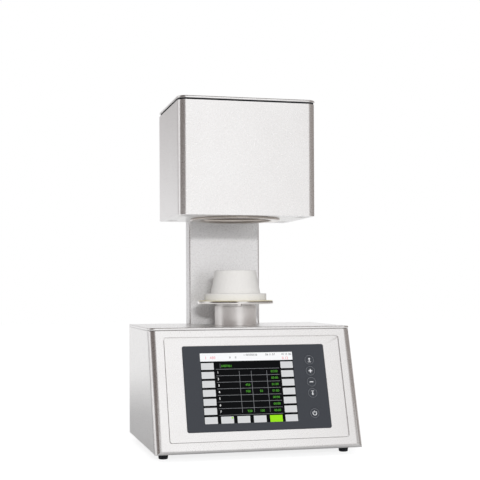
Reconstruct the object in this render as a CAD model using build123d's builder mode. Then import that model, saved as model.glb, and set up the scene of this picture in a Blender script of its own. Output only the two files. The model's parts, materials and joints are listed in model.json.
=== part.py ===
from build123d import *
from math import cos, radians, sin, tan
import os

os.makedirs("parts", exist_ok=True)

# Bench-top dental porcelain furnace, in millimetres.
# X points to the right, Y to the back, Z up. The origin is on the bench,
# under the centre of the base.

# Control panel of slate-grey glass, with a display and five keys
display_width = 158.0
display_height = 118.0
display_depth = 8.0
display_left = 16.7
display_rim = 4.25
display_play = 1.0
display_gap = 0.1
key_column = 15.5
key_margin = 23.6
key_pitch = 16.7
power_key_gap = 30.2
key_drop = 0.65
key_radius = 7.1
key_play = 0.4
key_travel = 0.5
key_flange = 1.2
key_flange_radius = 8.3
key_stem_radius = 2.5
key_stem = 1.9
key_names = ["key_table_up", "key_plus", "key_minus", "key_table_down", "key_power"]
glass_corner = 3.0
glass_thickness = 1.6
glass_proud = 0.5
glass_play = 0.2
glass_shift = 0.6
glass_lift = 0.6
board_thickness = 1.6
board_gap = 5.5
switch_height = 1.5
spacer_radius = 3.0
carrier_rim = 3.5
carrier_post_inset = 6.0

# Front plate, let into the sloping front with a narrow groove around it
plate_rim_u = 25.1
plate_rim_v = 13.15
plate_corner = 3.2
plate_low = 16.8
plate_above = 11.22
plate_margin = 5.0
plate_backing = 1.5
groove_width = 1.6

# Base housing, a sheet-steel box whose front leans back
frame_side = 21.5
front_tilt = radians(18.875)
base_depth = 256.4
foot_height = 11.0
sheet = 1.5
frame_flange = 8.0
frame_corner = 7.0
frame_bend = 4.5
front_wall = 2.0
seam_gap = 0.5
side_lip = 6.0
lid_thickness = 4.4
lid_overhang = 1.0
lid_corner = 7.0
lid_rim = 4.0
lid_edge = 1.9

# Feet
foot_inset_side = 17.5
foot_inset_front = 41.0
foot_inset_back = 24.2
foot_top_radius = 8.0
foot_bottom_radius = 6.6
screw_radius = 2.0
screw_head_radius = 3.8
screw_head = 2.4
screw_depth = 6.0
screw_play = 0.15

# Lift: a tube that a spindle raises out of a fixed sleeve
lift_to_column = 75.0
sleeve_radius = 32.6
sleeve_wall = 1.4
sleeve_height = 30.0
bush_wall = 1.1
tube_wall = 2.0
running_fit = 0.08
press_play = 0.05
table_radius = 59.5
table_thickness = 4.4
table_gap = 3.1
spigot_depth = 12.0
seal_width = 9.0
seal_thickness = 0.8
plug_flange_radius = 48.3
plug_flange = 11.7
plug_cone_low = 39.0
plug_cone_high = 32.0
plug_cone_height = 35.9
tray_recess_radius = 24.0
tray_recess = 1.5
spindle_radius = 5.0
guide_radius = 5.0
guide_spread = 60.0
carriage_edge = 7.0
carriage_corner = 6.0
bridge_edge = 5.0
spindle_end = 10.0
carriage_depth = 40.0
carriage_lift = 8.0
stop_gap = 1.0
closed_gap = 0.5
carriage_thickness = 12.0
nut_radius = 11.0
nut_flange_radius = 17.0
nut_flange = 4.0
guide_bush_radius = 8.0
guide_bush_length = 22.0
lift_plate_thickness = 8.0
bridge_thickness = 6.0
pulley_height = 9.0
pulley_rim = 1.0
pulley_lift = 2.0
spindle_pulley_radius = 14.0
motor_pulley_radius = 9.0
motor_gap = 5.0
motor_width = 42.0
motor_height = 46.0
motor_shaft_radius = 2.5
motor_plate = 3.0
motor_pilot_radius = 11.0
pillar_radius = 4.0
belt_thickness = 1.5
part_gap = 0.3

# Column that carries the head
column_width = 118.2
column_reach = 25.2
column_wall = 2.5
column_corner = 3.0
column_drop = 7.0
column_lip = 10.0
column_foot = 4.0
cover_screw_end = 30.0
cover_vent_drop = 60.0

# Head with the firing chamber
head_width = 211.0
head_depth = 172.0
head_height = 169.5
column_embed = 10.0
head_wall = 2.0
head_corner = 6.0
head_back_corner = 2.5
head_lid_thickness = 4.0
head_gap = 2.0
gasket_inset = 1.0
gasket_width = 6.0
corner_slot_inset = 15.0
floor_thickness = 2.0
seal_flange_radius = 70.0
seal_flange_bore = 55.0
seal_flange_height = 3.2
collar_wall = 2.5
collar_height = 8.5
pot_radius = 67.5
pot_wall = 2.0
pot_height = 107.5
pot_flange_radius = 74.0
pot_flange = 2.5
muffle_bore = 46.4
muffle_lip = 43.0
muffle_lip_height = 3.0
chamber_height = 74.0
muffle_top = 22.0
liner_bore = 42.4
liner_wall = 2.0
coil_width = 3.6
coil_thickness = 1.3
coil_pitch = 9.0
coil_turns = 7
probe_radius = 3.0
probe_tip = 7.0
probe_collar_radius = 8.0
probe_collar = 3.0
probe_head = 12.0
probe_head_width = 20.0
probe_head_depth = 14.0
terminal_spread = 30.0
terminal_radius = 5.0
terminal_collar_radius = 8.0
terminal_stud_radius = 2.0
terminal_neck = 8.0

# Circuit boards and power supply
board_length = 150.0
board_lift = 10.0
board_room = 10.0
board_to_fan = 20.0
standoff_inset = 5.0
relay_width = 20.0
relay_depth = 18.0
relay_height = 16.0
relay_pitch = 24.0
capacitor_radius = 6.0
capacitor_height = 22.0
chip_width = 20.0
chip_height = 3.0
supply_length = 100.0
supply_height = 38.0

# Rear panels, set back between the side panels
recess_depth = 14.0
vent_length = 30.0
vent_width = 3.0
vent_pitch = 8.0
fan_size = 60.0
fan_depth = 15.0
fan_bore = 28.5
fan_drop = 52.0
fan_corner = 4.0
spider = 2.0
spider_width = 3.0
guard_wire = 1.8
guard_rings = 3
guard_pitch = 8.0
guard_overlap = 6.0
hub_radius = 12.0
blade_play = 1.2
blade_count = 7
blade_pitch = radians(35)
blade_thickness = 1.4
connector_pitch = 38.0
connector_height = 52.0
nipple_drop = 42.0
rocker_throw = 20.0
nipple_radius = 4.0
nipple_length = 10.0
nipple_bore = 2.5
nipple_nut = 2.0
nipple_nut_radius = 7.5
valve_size = 24.0
valve_coil_radius = 9.0
valve_coil = 20.0

glass_width = display_left + display_width + key_column + key_margin
glass_height = display_height + 2 * display_rim
plate_width = glass_width + 2 * plate_rim_u
plate_height = glass_height + 2 * plate_rim_v
plate_centre_v = plate_low + plate_height / 2
panel_slant = plate_low + plate_height + plate_above
base_width = plate_width + 2 * frame_side
side_x = base_width / 2
back_y = base_depth / 2
slope = tan(front_tilt)
slant_ratio = 1 / cos(front_tilt)
front_edge_y = -back_y - frame_bend * (slope + slant_ratio - 1)
wall_top = foot_height + panel_slant / slant_ratio
base_top = wall_top + lid_thickness
column_front_y = back_y - column_reach
lift_y = column_front_y - lift_to_column


def front_y(z):
    """Return the Y of the sloping front face at height z."""
    return front_edge_y + slope * (z - foot_height)


def slope_strip(front_inset, back_inset, low, high):
    """Return the corners (y, z) of a strip parallel to the sloping front."""
    return [
        (front_y(low) + front_inset, low),
        (front_y(high) + front_inset, high),
        (front_y(high) + back_inset, high),
        (front_y(low) + back_inset, low),
    ]


def level(z):
    """Return a horizontal plane centred on the lift axis."""
    return Plane(origin=(0, lift_y, z))


def upright(y):
    """Return the plane at Y = y whose own axes are X and Z; it extrudes forwards."""
    return Plane(origin=(0, y, 0), x_dir=(1, 0, 0), z_dir=(0, -1, 0))


lift_axis = Axis((0, lift_y, 0), (0, 0, 1))
lift_section = upright(lift_y)
front_plane = Plane(
    origin=(0, front_edge_y, foot_height),
    x_dir=(1, 0, 0),
    z_dir=(0, -cos(front_tilt), sin(front_tilt)),
)
cross_plane = Plane(
    origin=(0, front_edge_y, foot_height),
    x_dir=(1, 0, 0),
    z_dir=(0, sin(front_tilt), cos(front_tilt)),
)


def save(builder, name):
    """Label a finished piece and write it as its own STEP file."""
    builder.part.label = name
    export_step(builder.part, f"parts/{name}.step")


def tube(inner, outer, low, high):
    """Return a tube about the lift axis between two heights."""
    with BuildPart() as piece:
        with BuildSketch(level(low)):
            Circle(outer)
            Circle(inner, mode=Mode.SUBTRACT)
        extrude(amount=high - low)
    return piece


def rolled_lid(width, depth, centre_y, low, thickness, corner):
    """Return a sheet lid with a rolled rim, hollow underneath."""
    with BuildPart() as piece:
        with BuildSketch(Plane(origin=(0, centre_y, low))):
            RectangleRounded(width, depth, corner)
        extrude(amount=thickness)
        fillet(piece.faces().sort_by(Axis.Z)[-1].edges(), radius=lid_edge)
        fillet(piece.faces().sort_by(Axis.Z)[0].edges(), radius=lid_edge)
        with BuildSketch(Plane(origin=(0, centre_y, low))):
            RectangleRounded(width - 2 * lid_rim, depth - 2 * lid_rim, corner / 2)
        extrude(amount=thickness - sheet, mode=Mode.SUBTRACT)
    return piece


def folded_block(inset, depth):
    """Return the frame's block, inset by a wall, with rounded upright corners and a bend below."""
    wall = inset * slant_ratio
    with BuildPart() as piece:
        with BuildSketch(Plane.YZ.offset(-side_x)) as profile:
            with BuildLine():
                Polyline(*slope_strip(wall, depth, foot_height + inset, wall_top - inset), close=True)
            make_face()
            fillet(profile.vertices().sort_by(Axis.X)[0], radius=frame_bend - inset)
        extrude(amount=base_width)
        with BuildSketch(cross_plane) as section:
            with Locations((0, inset)):
                Rectangle(base_width - 2 * inset, 2 * depth, align=(Align.CENTER, Align.MIN))
            fillet(section.vertices().group_by(Axis.Y)[0], radius=frame_corner - inset)
        extrude(amount=2 * panel_slant, both=True, mode=Mode.INTERSECT)
    return piece


def pulley(radius):
    """Return a belt pulley with a rim above the belt, standing on the origin."""
    with BuildPart() as piece:
        with BuildSketch():
            Circle(radius)
        extrude(amount=pulley_height)
        with BuildSketch(Plane.XY.offset(pulley_height)):
            Circle(radius + belt_thickness + part_gap)
        extrude(amount=pulley_rim)
    return piece


# Front frame: the outer sheet of the sloping front, its edges folded back all round
window_width = plate_width + 2 * groove_width
window_height = plate_height + 2 * groove_width
with BuildPart() as front_frame:
    add(folded_block(0, frame_flange))
    add(folded_block(front_wall, 2 * frame_flange), mode=Mode.SUBTRACT)
    with BuildSketch(front_plane):
        with Locations((0, plate_centre_v)):
            RectangleRounded(window_width, window_height, plate_corner + groove_width)
    extrude(amount=-frame_flange, mode=Mode.SUBTRACT)
save(front_frame, "front_frame")

# Front plate: flush with the frame, on a backing flange that closes the groove
glass_centre = (glass_shift, plate_centre_v + glass_lift)
display_centre = (glass_centre[0] - glass_width / 2 + display_left + display_width / 2, glass_centre[1])
key_u = display_centre[0] + display_width / 2 + key_column
key_middle = glass_centre[1] - key_drop
key_span = 3 * key_pitch + power_key_gap
key_heights = [key_middle + key_span / 2 - n * key_pitch for n in range(4)] + [key_middle - key_span / 2]
key_window_width = 2 * (key_flange_radius + key_play)
key_window_height = key_span + key_window_width
glass_depth = glass_thickness - glass_proud
backing_width = window_width + 2 * plate_margin
backing_height = window_height + 2 * plate_margin
with BuildPart() as front_plate:
    with BuildSketch(front_plane.offset(-front_wall)):
        with Locations((0, plate_centre_v)):
            RectangleRounded(backing_width, backing_height, plate_corner)
    extrude(amount=-plate_backing)
    with BuildSketch(front_plane.offset(-front_wall)):
        with Locations((0, plate_centre_v)):
            RectangleRounded(plate_width, plate_height, plate_corner)
    extrude(amount=front_wall)
    with BuildSketch(front_plane):
        with Locations(glass_centre):
            RectangleRounded(glass_width + 2 * glass_play, glass_height + 2 * glass_play, glass_corner)
    extrude(amount=-glass_depth, mode=Mode.SUBTRACT)
    with BuildSketch(front_plane):
        with Locations(display_centre):
            Rectangle(display_width + 2 * display_play, display_height + 2 * display_play)
        with Locations((key_u, key_middle)):
            RectangleRounded(key_window_width, key_window_height, glass_corner)
    extrude(amount=-(front_wall + plate_backing), mode=Mode.SUBTRACT)
save(front_plate, "front_plate")

# Control panel glass with a round hole for each key
with BuildPart() as control_glass:
    with BuildSketch(front_plane.offset(-glass_depth)):
        with Locations(glass_centre):
            RectangleRounded(glass_width, glass_height, glass_corner)
        with Locations([(key_u, v) for v in key_heights]):
            Circle(key_radius + key_play, mode=Mode.SUBTRACT)
    extrude(amount=glass_thickness)
    chamfer(control_glass.faces().sort_by(Axis.Y)[0].outer_wire().edges(), length=0.3)
save(control_glass, "control_glass")

# Five keys: each cap fills its hole, with a flange behind the glass and a stem
flange_face = glass_depth + part_gap
for key_name, key_v in zip(key_names, key_heights):
    with BuildPart() as key:
        with BuildSketch(front_plane.offset(-flange_face)):
            with Locations((key_u, key_v)):
                Circle(key_radius)
        extrude(amount=flange_face + glass_proud)
        with BuildSketch(front_plane.offset(-flange_face)):
            with Locations((key_u, key_v)):
                Circle(key_flange_radius)
        extrude(amount=-key_flange)
        with BuildSketch(front_plane.offset(-flange_face - key_flange)):
            with Locations((key_u, key_v)):
                Circle(key_stem_radius)
        extrude(amount=-key_stem)
    save(key, key_name)

# Key circuit board with a dome switch under each stem
switch_face = flange_face + key_flange + key_stem + key_travel + display_gap
board_face = switch_face + switch_height
with BuildPart() as key_board:
    with BuildSketch(front_plane.offset(-board_face)):
        with Locations((key_u, key_middle)):
            Rectangle(2 * (key_column - board_gap), key_window_height)
    extrude(amount=-board_thickness)
    with BuildSketch(front_plane.offset(-board_face)):
        with Locations([(key_u, v) for v in key_heights]):
            Circle(spacer_radius)
    extrude(amount=switch_height)
save(key_board, "key_board")

# Display module behind the glass
display_face = glass_depth + display_gap
with BuildPart() as display_module:
    with BuildSketch(front_plane.offset(-display_face)):
        with Locations(display_centre):
            Rectangle(display_width, display_height)
    extrude(amount=-display_depth)
    chamfer(display_module.faces().sort_by(Axis.Y)[-1].edges(), length=1.0)
save(display_module, "display_module")

# Carrier sheet behind the display, held to the front plate by spacers
carrier_face = display_face + display_depth
carrier_width = glass_width - 2 * carrier_rim
carrier_height = glass_height - 2 * carrier_rim
post_u = carrier_width / 2 - carrier_post_inset
post_v = carrier_height / 2 - carrier_post_inset
carrier_columns = (glass_centre[0] - post_u, glass_centre[0] + post_u)
carrier_rows = (glass_centre[1] - post_v, glass_centre[1] + post_v)
carrier_spots = [(u, v) for u in carrier_columns for v in carrier_rows]
board_spots = [(key_u, key_middle + sy * key_span / 2) for sy in (-1, 1)]
with BuildPart() as panel_carrier:
    with BuildSketch(front_plane.offset(-carrier_face)):
        with Locations(glass_centre):
            RectangleRounded(carrier_width, carrier_height, glass_corner)
        with Locations(display_centre):
            RectangleRounded(display_width / 2, display_height / 2, glass_corner, mode=Mode.SUBTRACT)
    extrude(amount=-sheet)
save(panel_carrier, "panel_carrier")

# Side panels, from the seam behind the front frame to the back edge
seam = frame_flange + seam_gap
lip_width = sheet + side_lip
for side, side_name in ((-1, "left_side_panel"), (1, "right_side_panel")):
    with BuildPart() as side_panel:
        with BuildSketch(Plane.YZ.offset(side * side_x)):
            with BuildLine():
                Polyline(
                    (front_y(foot_height) + seam, foot_height),
                    (front_y(wall_top) + seam, wall_top),
                    (back_y, wall_top),
                    (back_y, foot_height),
                    close=True,
                )
            make_face()
        extrude(amount=-side * sheet)
        with BuildSketch(Plane.XY.offset(foot_height)):
            with Locations((side * (side_x - lip_width / 2), (front_y(foot_height) + seam + back_y) / 2)):
                Rectangle(lip_width, back_y - front_y(foot_height) - seam)
        extrude(amount=sheet)
    save(side_panel, side_name)

# Top plate of the base, with the hole for the sleeve and the notch for the column
top_front_y = front_y(base_top) - lid_overhang
column_play = part_gap
spigot_radius = sleeve_radius - sleeve_wall
with BuildPart() as base_top_plate:
    add(
        rolled_lid(
            base_width + 2 * lid_overhang,
            back_y - top_front_y,
            (back_y + top_front_y) / 2,
            wall_top,
            lid_thickness,
            lid_corner,
        )
    )
    with BuildSketch(level(wall_top)):
        Circle(spigot_radius + press_play)
    extrude(amount=lid_thickness, mode=Mode.SUBTRACT)
    with BuildSketch(Plane.XY.offset(wall_top)):
        with Locations((0, (column_front_y - column_play + back_y) / 2)):
            Rectangle(column_width + 2 * column_play, back_y - column_front_y + column_play)
    extrude(amount=lid_thickness, mode=Mode.SUBTRACT)
save(base_top_plate, "base_top_plate")

# Floor pan, lying on the lips of the side panels, with cooling slots
pan_low = foot_height + sheet
pan_top = pan_low + sheet
pan_front_y = front_y(pan_low) + frame_flange + seam_gap
pan_back_y = back_y - sheet
foot_x = side_x - foot_inset_side
foot_rows = (front_edge_y + foot_inset_front, back_y - foot_inset_back)
foot_spots = [(sx * foot_x, y) for sx in (-1, 1) for y in foot_rows]
pan_vent_x = foot_x - vent_length
with BuildPart() as floor_pan:
    with BuildSketch(Plane.XY.offset(pan_low)):
        with Locations((0, (pan_front_y + pan_back_y) / 2)):
            Rectangle(base_width - 2 * sheet, pan_back_y - pan_front_y)
        with Locations(foot_spots):
            Circle(screw_radius + screw_play, mode=Mode.SUBTRACT)
        with GridLocations(2 * pan_vent_x, vent_pitch, 2, 9):
            SlotOverall(vent_length, vent_width, mode=Mode.SUBTRACT)
    extrude(amount=sheet)
save(floor_pan, "floor_pan")

# Four rubber feet, each tapered, with the hole for its screw
with BuildPart() as feet:
    with Locations([(x, y, pan_low / 2) for x, y in foot_spots]):
        Cone(foot_bottom_radius, foot_top_radius, pan_low)
    chamfer(feet.edges().group_by(Axis.Z)[0], length=0.8)
    with BuildSketch(Plane.XY.offset(pan_low)):
        with Locations(foot_spots):
            Circle(screw_radius + screw_play)
    extrude(amount=-screw_depth, mode=Mode.SUBTRACT)
save(feet, "feet")

with BuildPart() as foot_screws:
    with BuildSketch(Plane.XY.offset(pan_low - screw_depth + screw_play)):
        with Locations(foot_spots):
            Circle(screw_radius)
    extrude(amount=screw_depth - screw_play + sheet)
    with BuildSketch(Plane.XY.offset(pan_top)):
        with Locations(foot_spots):
            Circle(screw_head_radius)
    extrude(amount=screw_head)
    chamfer(foot_screws.edges().group_by(Axis.Z)[-1], length=0.8)
save(foot_screws, "foot_screws")

# Heights of the lift: its travel is the room between the spindle's pulley and the bridge
lift_plate_top = pan_top + lift_plate_thickness
pulley_low = lift_plate_top + pulley_lift
carriage_low = pulley_low + pulley_height + pulley_rim + carriage_lift
carriage_top = carriage_low + carriage_thickness
bridge_top = base_top - sheet
bridge_low = bridge_top - bridge_thickness
lift_travel = bridge_low - stop_gap - carriage_top
sleeve_top = base_top + sleeve_height
table_low = sleeve_top + table_gap
table_top = table_low + table_thickness
head_bottom = table_top + seal_thickness + lift_travel + closed_gap + seal_flange_height
head_wall_top = head_bottom + head_height
column_top = head_wall_top - column_drop

# Column: a lipped channel, open at the back, closed by a foot and a cap
column_back_y = back_y - sheet
column_depth = column_back_y - column_front_y
column_mid_y = (column_front_y + column_back_y) / 2
with BuildPart() as column_channel:
    with BuildSketch(Plane.XY.offset(pan_top)) as channel_profile:
        with Locations((0, column_mid_y)):
            Rectangle(column_width, column_depth)
        fillet(channel_profile.vertices().group_by(Axis.Y)[0], radius=column_corner)
        with Locations((0, column_mid_y)):
            Rectangle(column_width - 2 * column_wall, column_depth - 2 * column_wall, mode=Mode.SUBTRACT)
        with Locations((0, column_back_y - column_wall / 2)):
            Rectangle(column_width - 2 * column_lip, 2 * column_wall, mode=Mode.SUBTRACT)
    extrude(amount=column_top - pan_top)
    with BuildSketch(Plane.XY.offset(pan_top)):
        with Locations((0, column_mid_y)):
            Rectangle(column_width - column_wall, column_depth - column_wall)
    extrude(amount=column_foot)
    with BuildSketch(Plane.XY.offset(column_top)):
        with Locations((0, column_mid_y)):
            Rectangle(column_width - column_wall, column_depth - column_wall)
    extrude(amount=-column_wall)
save(column_channel, "column_channel")

# Rear cover of the column and its countersunk screws
screw_x = column_width / 2 - column_lip / 2
cover_screw_pitch = (column_top - pan_top - 2 * cover_screw_end) / 4
cover_screw_rows = [pan_top + cover_screw_end + n * cover_screw_pitch for n in range(5)]
cover_screws_at = [(sx * screw_x, z) for sx in (-1, 1) for z in cover_screw_rows]
cover_screw_radius = 1.5
with BuildPart() as column_rear_cover:
    with BuildSketch(upright(back_y)):
        with Locations((0, (pan_top + column_top) / 2)):
            Rectangle(column_width, column_top - pan_top)
        with Locations(cover_screws_at):
            Circle(cover_screw_radius + screw_play, mode=Mode.SUBTRACT)
        with Locations((0, column_top - cover_vent_drop)):
            with GridLocations(vent_length + vent_pitch, vent_pitch, 2, 6):
                SlotOverall(vent_length, vent_width, mode=Mode.SUBTRACT)
    extrude(amount=sheet)
save(column_rear_cover, "column_rear_cover")

# Head housing: one sheet wrapped round the front, sides and back, with a slot for the column
head_back_y = column_front_y + column_embed
head_front_y = head_back_y - head_depth
head_centre_y = (head_front_y + head_back_y) / 2
slot_half = column_width / 2 + column_play
strip_x = (slot_half + head_width / 2) / 2
with BuildPart() as head_housing:
    with BuildSketch(Plane.XY.offset(head_bottom)) as head_profile:
        with Locations((0, head_centre_y)):
            Rectangle(head_width, head_depth)
        fillet(head_profile.vertices().group_by(Axis.Y)[0], radius=head_corner)
        fillet(head_profile.vertices().group_by(Axis.Y)[-1], radius=head_back_corner)
        offset(amount=-head_wall, mode=Mode.SUBTRACT)
    extrude(amount=head_wall_top - head_bottom)
    with BuildSketch(Plane.XY.offset(head_bottom)):
        with Locations((0, head_back_y - head_wall / 2)):
            Rectangle(2 * slot_half, 2 * head_wall)
    extrude(amount=column_top + column_play - head_bottom, mode=Mode.SUBTRACT)
    with BuildSketch(upright(head_back_y)):
        with Locations((0, head_wall_top - cover_vent_drop)):
            with GridLocations(2 * strip_x, vent_pitch, 2, 9):
                SlotOverall(vent_length, vent_width)
    extrude(amount=2 * head_wall, mode=Mode.SUBTRACT)
save(head_housing, "head_housing")

# Head lid and the dark gasket in the gap under it
lid_low = head_wall_top + head_gap
head_lid = rolled_lid(
    head_width + 2 * lid_overhang,
    head_depth + 2 * lid_overhang,
    head_centre_y,
    lid_low,
    head_lid_thickness,
    head_corner + lid_overhang,
)
save(head_lid, "head_lid")

with BuildPart() as lid_gasket:
    with BuildSketch(Plane.XY.offset(head_wall_top)):
        with Locations((0, head_centre_y)):
            RectangleRounded(
                head_width - 2 * gasket_inset,
                head_depth - 2 * gasket_inset,
                head_corner - gasket_inset,
            )
            RectangleRounded(
                head_width - 2 * (gasket_inset + gasket_width),
                head_depth - 2 * (gasket_inset + gasket_width),
                1.0,
                mode=Mode.SUBTRACT,
            )
    extrude(amount=head_gap)
save(lid_gasket, "lid_gasket")

# Floor of the head, with the chamber mouth, the column notch and vent slots
floor_top = head_bottom + floor_thickness
floor_width = head_width - 2 * head_wall
floor_depth = head_depth - 2 * head_wall
collar_radius = seal_flange_bore + collar_wall
pot_screw_circle = (pot_radius + pot_flange_radius) / 2
pot_screw_radius = 1.5
corner_slot_x = head_width / 2 - corner_slot_inset
corner_slot_y = head_depth / 2 - 2 * corner_slot_inset
with BuildPart() as head_floor:
    with BuildSketch(Plane.XY.offset(head_bottom)):
        with Locations((0, head_centre_y)):
            RectangleRounded(floor_width, floor_depth, head_corner - head_wall)
        with Locations((0, head_back_y)):
            Rectangle(2 * slot_half, 2 * (head_back_y - column_front_y + column_play), mode=Mode.SUBTRACT)
        with Locations((0, lift_y)):
            Circle(collar_radius + press_play, mode=Mode.SUBTRACT)
            with PolarLocations(pot_screw_circle, 6):
                Circle(pot_screw_radius + screw_play, mode=Mode.SUBTRACT)
        for slot_y in (head_centre_y - corner_slot_y, head_centre_y + corner_slot_y):
            with Locations((0, slot_y)):
                with GridLocations(2 * corner_slot_x, vent_pitch, 2, 4):
                    SlotOverall(corner_slot_inset, vent_width, mode=Mode.SUBTRACT)
    extrude(amount=floor_thickness)
save(head_floor, "head_floor")

# Sealing flange: the polished ring under the head, with a collar up to the muffle
flange_low = head_bottom - seal_flange_height
collar_top = head_bottom + collar_height
with BuildPart() as seal_flange:
    with BuildSketch(lift_section):
        with BuildLine():
            Polyline(
                (seal_flange_bore, flange_low + 0.8),
                (seal_flange_bore + 0.8, flange_low),
                (seal_flange_radius - 1.6, flange_low),
                (seal_flange_radius, flange_low + 1.6),
                (seal_flange_radius, head_bottom),
                (collar_radius, head_bottom),
                (collar_radius, collar_top),
                (seal_flange_bore, collar_top),
                close=True,
            )
        make_face()
    revolve(axis=lift_axis)
save(seal_flange, "seal_flange")

# Steel pot that holds the vacuum, with a bolted flange and holes in its roof
pot_top = floor_top + pot_height
terminal_spots = [(sx * terminal_spread, 0) for sx in (-1, 1)]
with BuildPart() as chamber_pot:
    with BuildSketch(lift_section):
        with BuildLine():
            Polyline(
                (pot_radius - pot_wall, floor_top),
                (pot_flange_radius, floor_top),
                (pot_flange_radius, floor_top + pot_flange),
                (pot_radius, floor_top + pot_flange),
                (pot_radius, pot_top),
                (0, pot_top),
                (0, pot_top - pot_wall),
                (pot_radius - pot_wall, pot_top - pot_wall),
                close=True,
            )
        make_face()
    revolve(axis=lift_axis)
    with BuildSketch(level(pot_top)):
        Circle(probe_radius + part_gap)
        with Locations(terminal_spots):
            Circle(terminal_radius + part_gap)
    extrude(amount=-pot_wall, mode=Mode.SUBTRACT)
    with BuildSketch(level(floor_top)):
        with PolarLocations(pot_screw_circle, 6):
            Circle(pot_screw_radius + screw_play)
    extrude(amount=pot_flange, mode=Mode.SUBTRACT)
save(chamber_pot, "chamber_pot")

# Machine screws: flush ones in the column's rear cover, hexagon ones round the pot
with BuildPart() as machine_screws:
    with BuildSketch(upright(back_y)):
        with Locations(cover_screws_at):
            Circle(cover_screw_radius)
    extrude(amount=sheet)
    with BuildSketch(level(head_bottom)):
        with PolarLocations(pot_screw_circle, 6):
            Circle(pot_screw_radius)
    extrude(amount=floor_thickness + pot_flange)
    with BuildSketch(level(floor_top + pot_flange)):
        with PolarLocations(pot_screw_circle, 6):
            RegularPolygon(radius=2.9, side_count=6)
    extrude(amount=2.0)
save(machine_screws, "machine_screws")

# Ceramic-fibre muffle with a lip under the liner
muffle_low = collar_top
liner_low = muffle_low + muffle_lip_height
liner_top = liner_low + chamber_height
muffle_radius = pot_radius - pot_wall - part_gap
muffle_high = liner_top + muffle_top
with BuildPart() as muffle_insulation:
    with BuildSketch(lift_section):
        with BuildLine():
            Polyline(
                (muffle_lip, muffle_low),
                (muffle_radius, muffle_low),
                (muffle_radius, muffle_high),
                (probe_radius + part_gap, muffle_high),
                (probe_radius + part_gap, liner_top),
                (muffle_bore, liner_top),
                (muffle_bore, liner_low),
                (muffle_lip, liner_low),
                close=True,
            )
        make_face()
    revolve(axis=lift_axis)
save(muffle_insulation, "muffle_insulation")

# Quartz liner of the chamber
liner_radius = liner_bore + liner_wall
quartz_liner = tube(liner_bore, liner_radius, liner_low, liner_top)
save(quartz_liner, "quartz_liner")

# Heating coil: a resistance strip wound round the liner
coil_radius = liner_radius + part_gap + coil_thickness / 2
coil_low = liner_low + (chamber_height - coil_turns * coil_pitch) / 2
with BuildPart() as heating_coil:
    with BuildLine():
        Helix(
            pitch=coil_pitch,
            height=coil_turns * coil_pitch,
            radius=coil_radius,
            center=(0, lift_y, coil_low),
        )
    with BuildSketch(Plane(origin=(coil_radius, lift_y, coil_low), x_dir=(1, 0, 0), z_dir=(0, 1, 0))):
        Rectangle(coil_thickness, coil_width)
    sweep(is_frenet=True)
save(heating_coil, "heating_coil")

# Thermocouple: a sheath through the roof of the muffle, with its connection head
probe_low = liner_top - probe_tip
with BuildPart() as thermocouple:
    with BuildSketch(level(probe_low)):
        Circle(probe_radius)
    extrude(amount=pot_top - probe_low)
    fillet(thermocouple.edges().group_by(Axis.Z)[0], radius=probe_radius / 2)
    with BuildSketch(level(pot_top)):
        Circle(probe_collar_radius)
    extrude(amount=probe_collar)
    with BuildSketch(level(pot_top + probe_collar)):
        RectangleRounded(probe_head_width, probe_head_depth, probe_radius)
    extrude(amount=probe_head)
save(thermocouple, "thermocouple")

# Porcelain terminals of the heating circuit on the roof of the pot
with BuildPart() as heater_terminals:
    with BuildSketch(level(muffle_high)):
        with Locations(terminal_spots):
            Circle(terminal_radius)
    extrude(amount=pot_top - muffle_high + terminal_neck)
    with BuildSketch(level(pot_top)):
        with Locations(terminal_spots):
            Circle(terminal_collar_radius)
    extrude(amount=probe_collar)
    with BuildSketch(level(pot_top + terminal_neck)):
        with Locations(terminal_spots):
            Circle(terminal_stud_radius)
    extrude(amount=terminal_neck)
save(heater_terminals, "heater_terminals")

# Lift sleeve on the base, with a spigot through the top plate and a slide bush inside
bush_radius = sleeve_radius - sleeve_wall - press_play
tube_radius = bush_radius - bush_wall - running_fit
with BuildPart() as lift_sleeve:
    with BuildSketch(lift_section):
        with BuildLine():
            Polyline(
                (sleeve_radius - sleeve_wall, base_top),
                (sleeve_radius, base_top),
                (sleeve_radius, sleeve_top - 0.5),
                (sleeve_radius - 0.5, sleeve_top),
                (sleeve_radius - sleeve_wall, sleeve_top),
                close=True,
            )
        make_face()
    revolve(axis=lift_axis)
save(lift_sleeve, "lift_sleeve")

guide_bush = tube(tube_radius + running_fit, bush_radius, bridge_top, sleeve_top - 1.0)
save(guide_bush, "guide_bush")

# Lift tube, which carries the table on its top end
grub_radius = 3.0
with BuildPart() as lift_tube:
    with BuildSketch(level(carriage_top)):
        Circle(tube_radius)
        Circle(tube_radius - tube_wall, mode=Mode.SUBTRACT)
    extrude(amount=table_low - carriage_top)
    with BuildSketch(upright(lift_y)):
        with Locations((0, table_low - 1.9)):
            SlotOverall(2 * grub_radius, 2.2)
    extrude(amount=tube_radius + 1, mode=Mode.SUBTRACT)
save(lift_tube, "lift_tube")

# Table: the polished disc under the firing plug, with a spigot into the tube
with BuildPart() as lift_table:
    with BuildSketch(level(table_low)):
        Circle(table_radius)
    extrude(amount=table_thickness)
    fillet(lift_table.edges().group_by(Axis.Z)[-1], radius=1.2)
    chamfer(lift_table.edges().group_by(Axis.Z)[0], length=1.2)
    with BuildSketch(level(table_low)):
        Circle(tube_radius - tube_wall - press_play)
    extrude(amount=-spigot_depth)
save(lift_table, "lift_table")

# Silicone seal on the rim of the table
table_seal = tube(
    table_radius - 1.2 - seal_width,
    table_radius - 1.2,
    table_top,
    table_top + seal_thickness,
)
save(table_seal, "table_seal")

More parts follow.
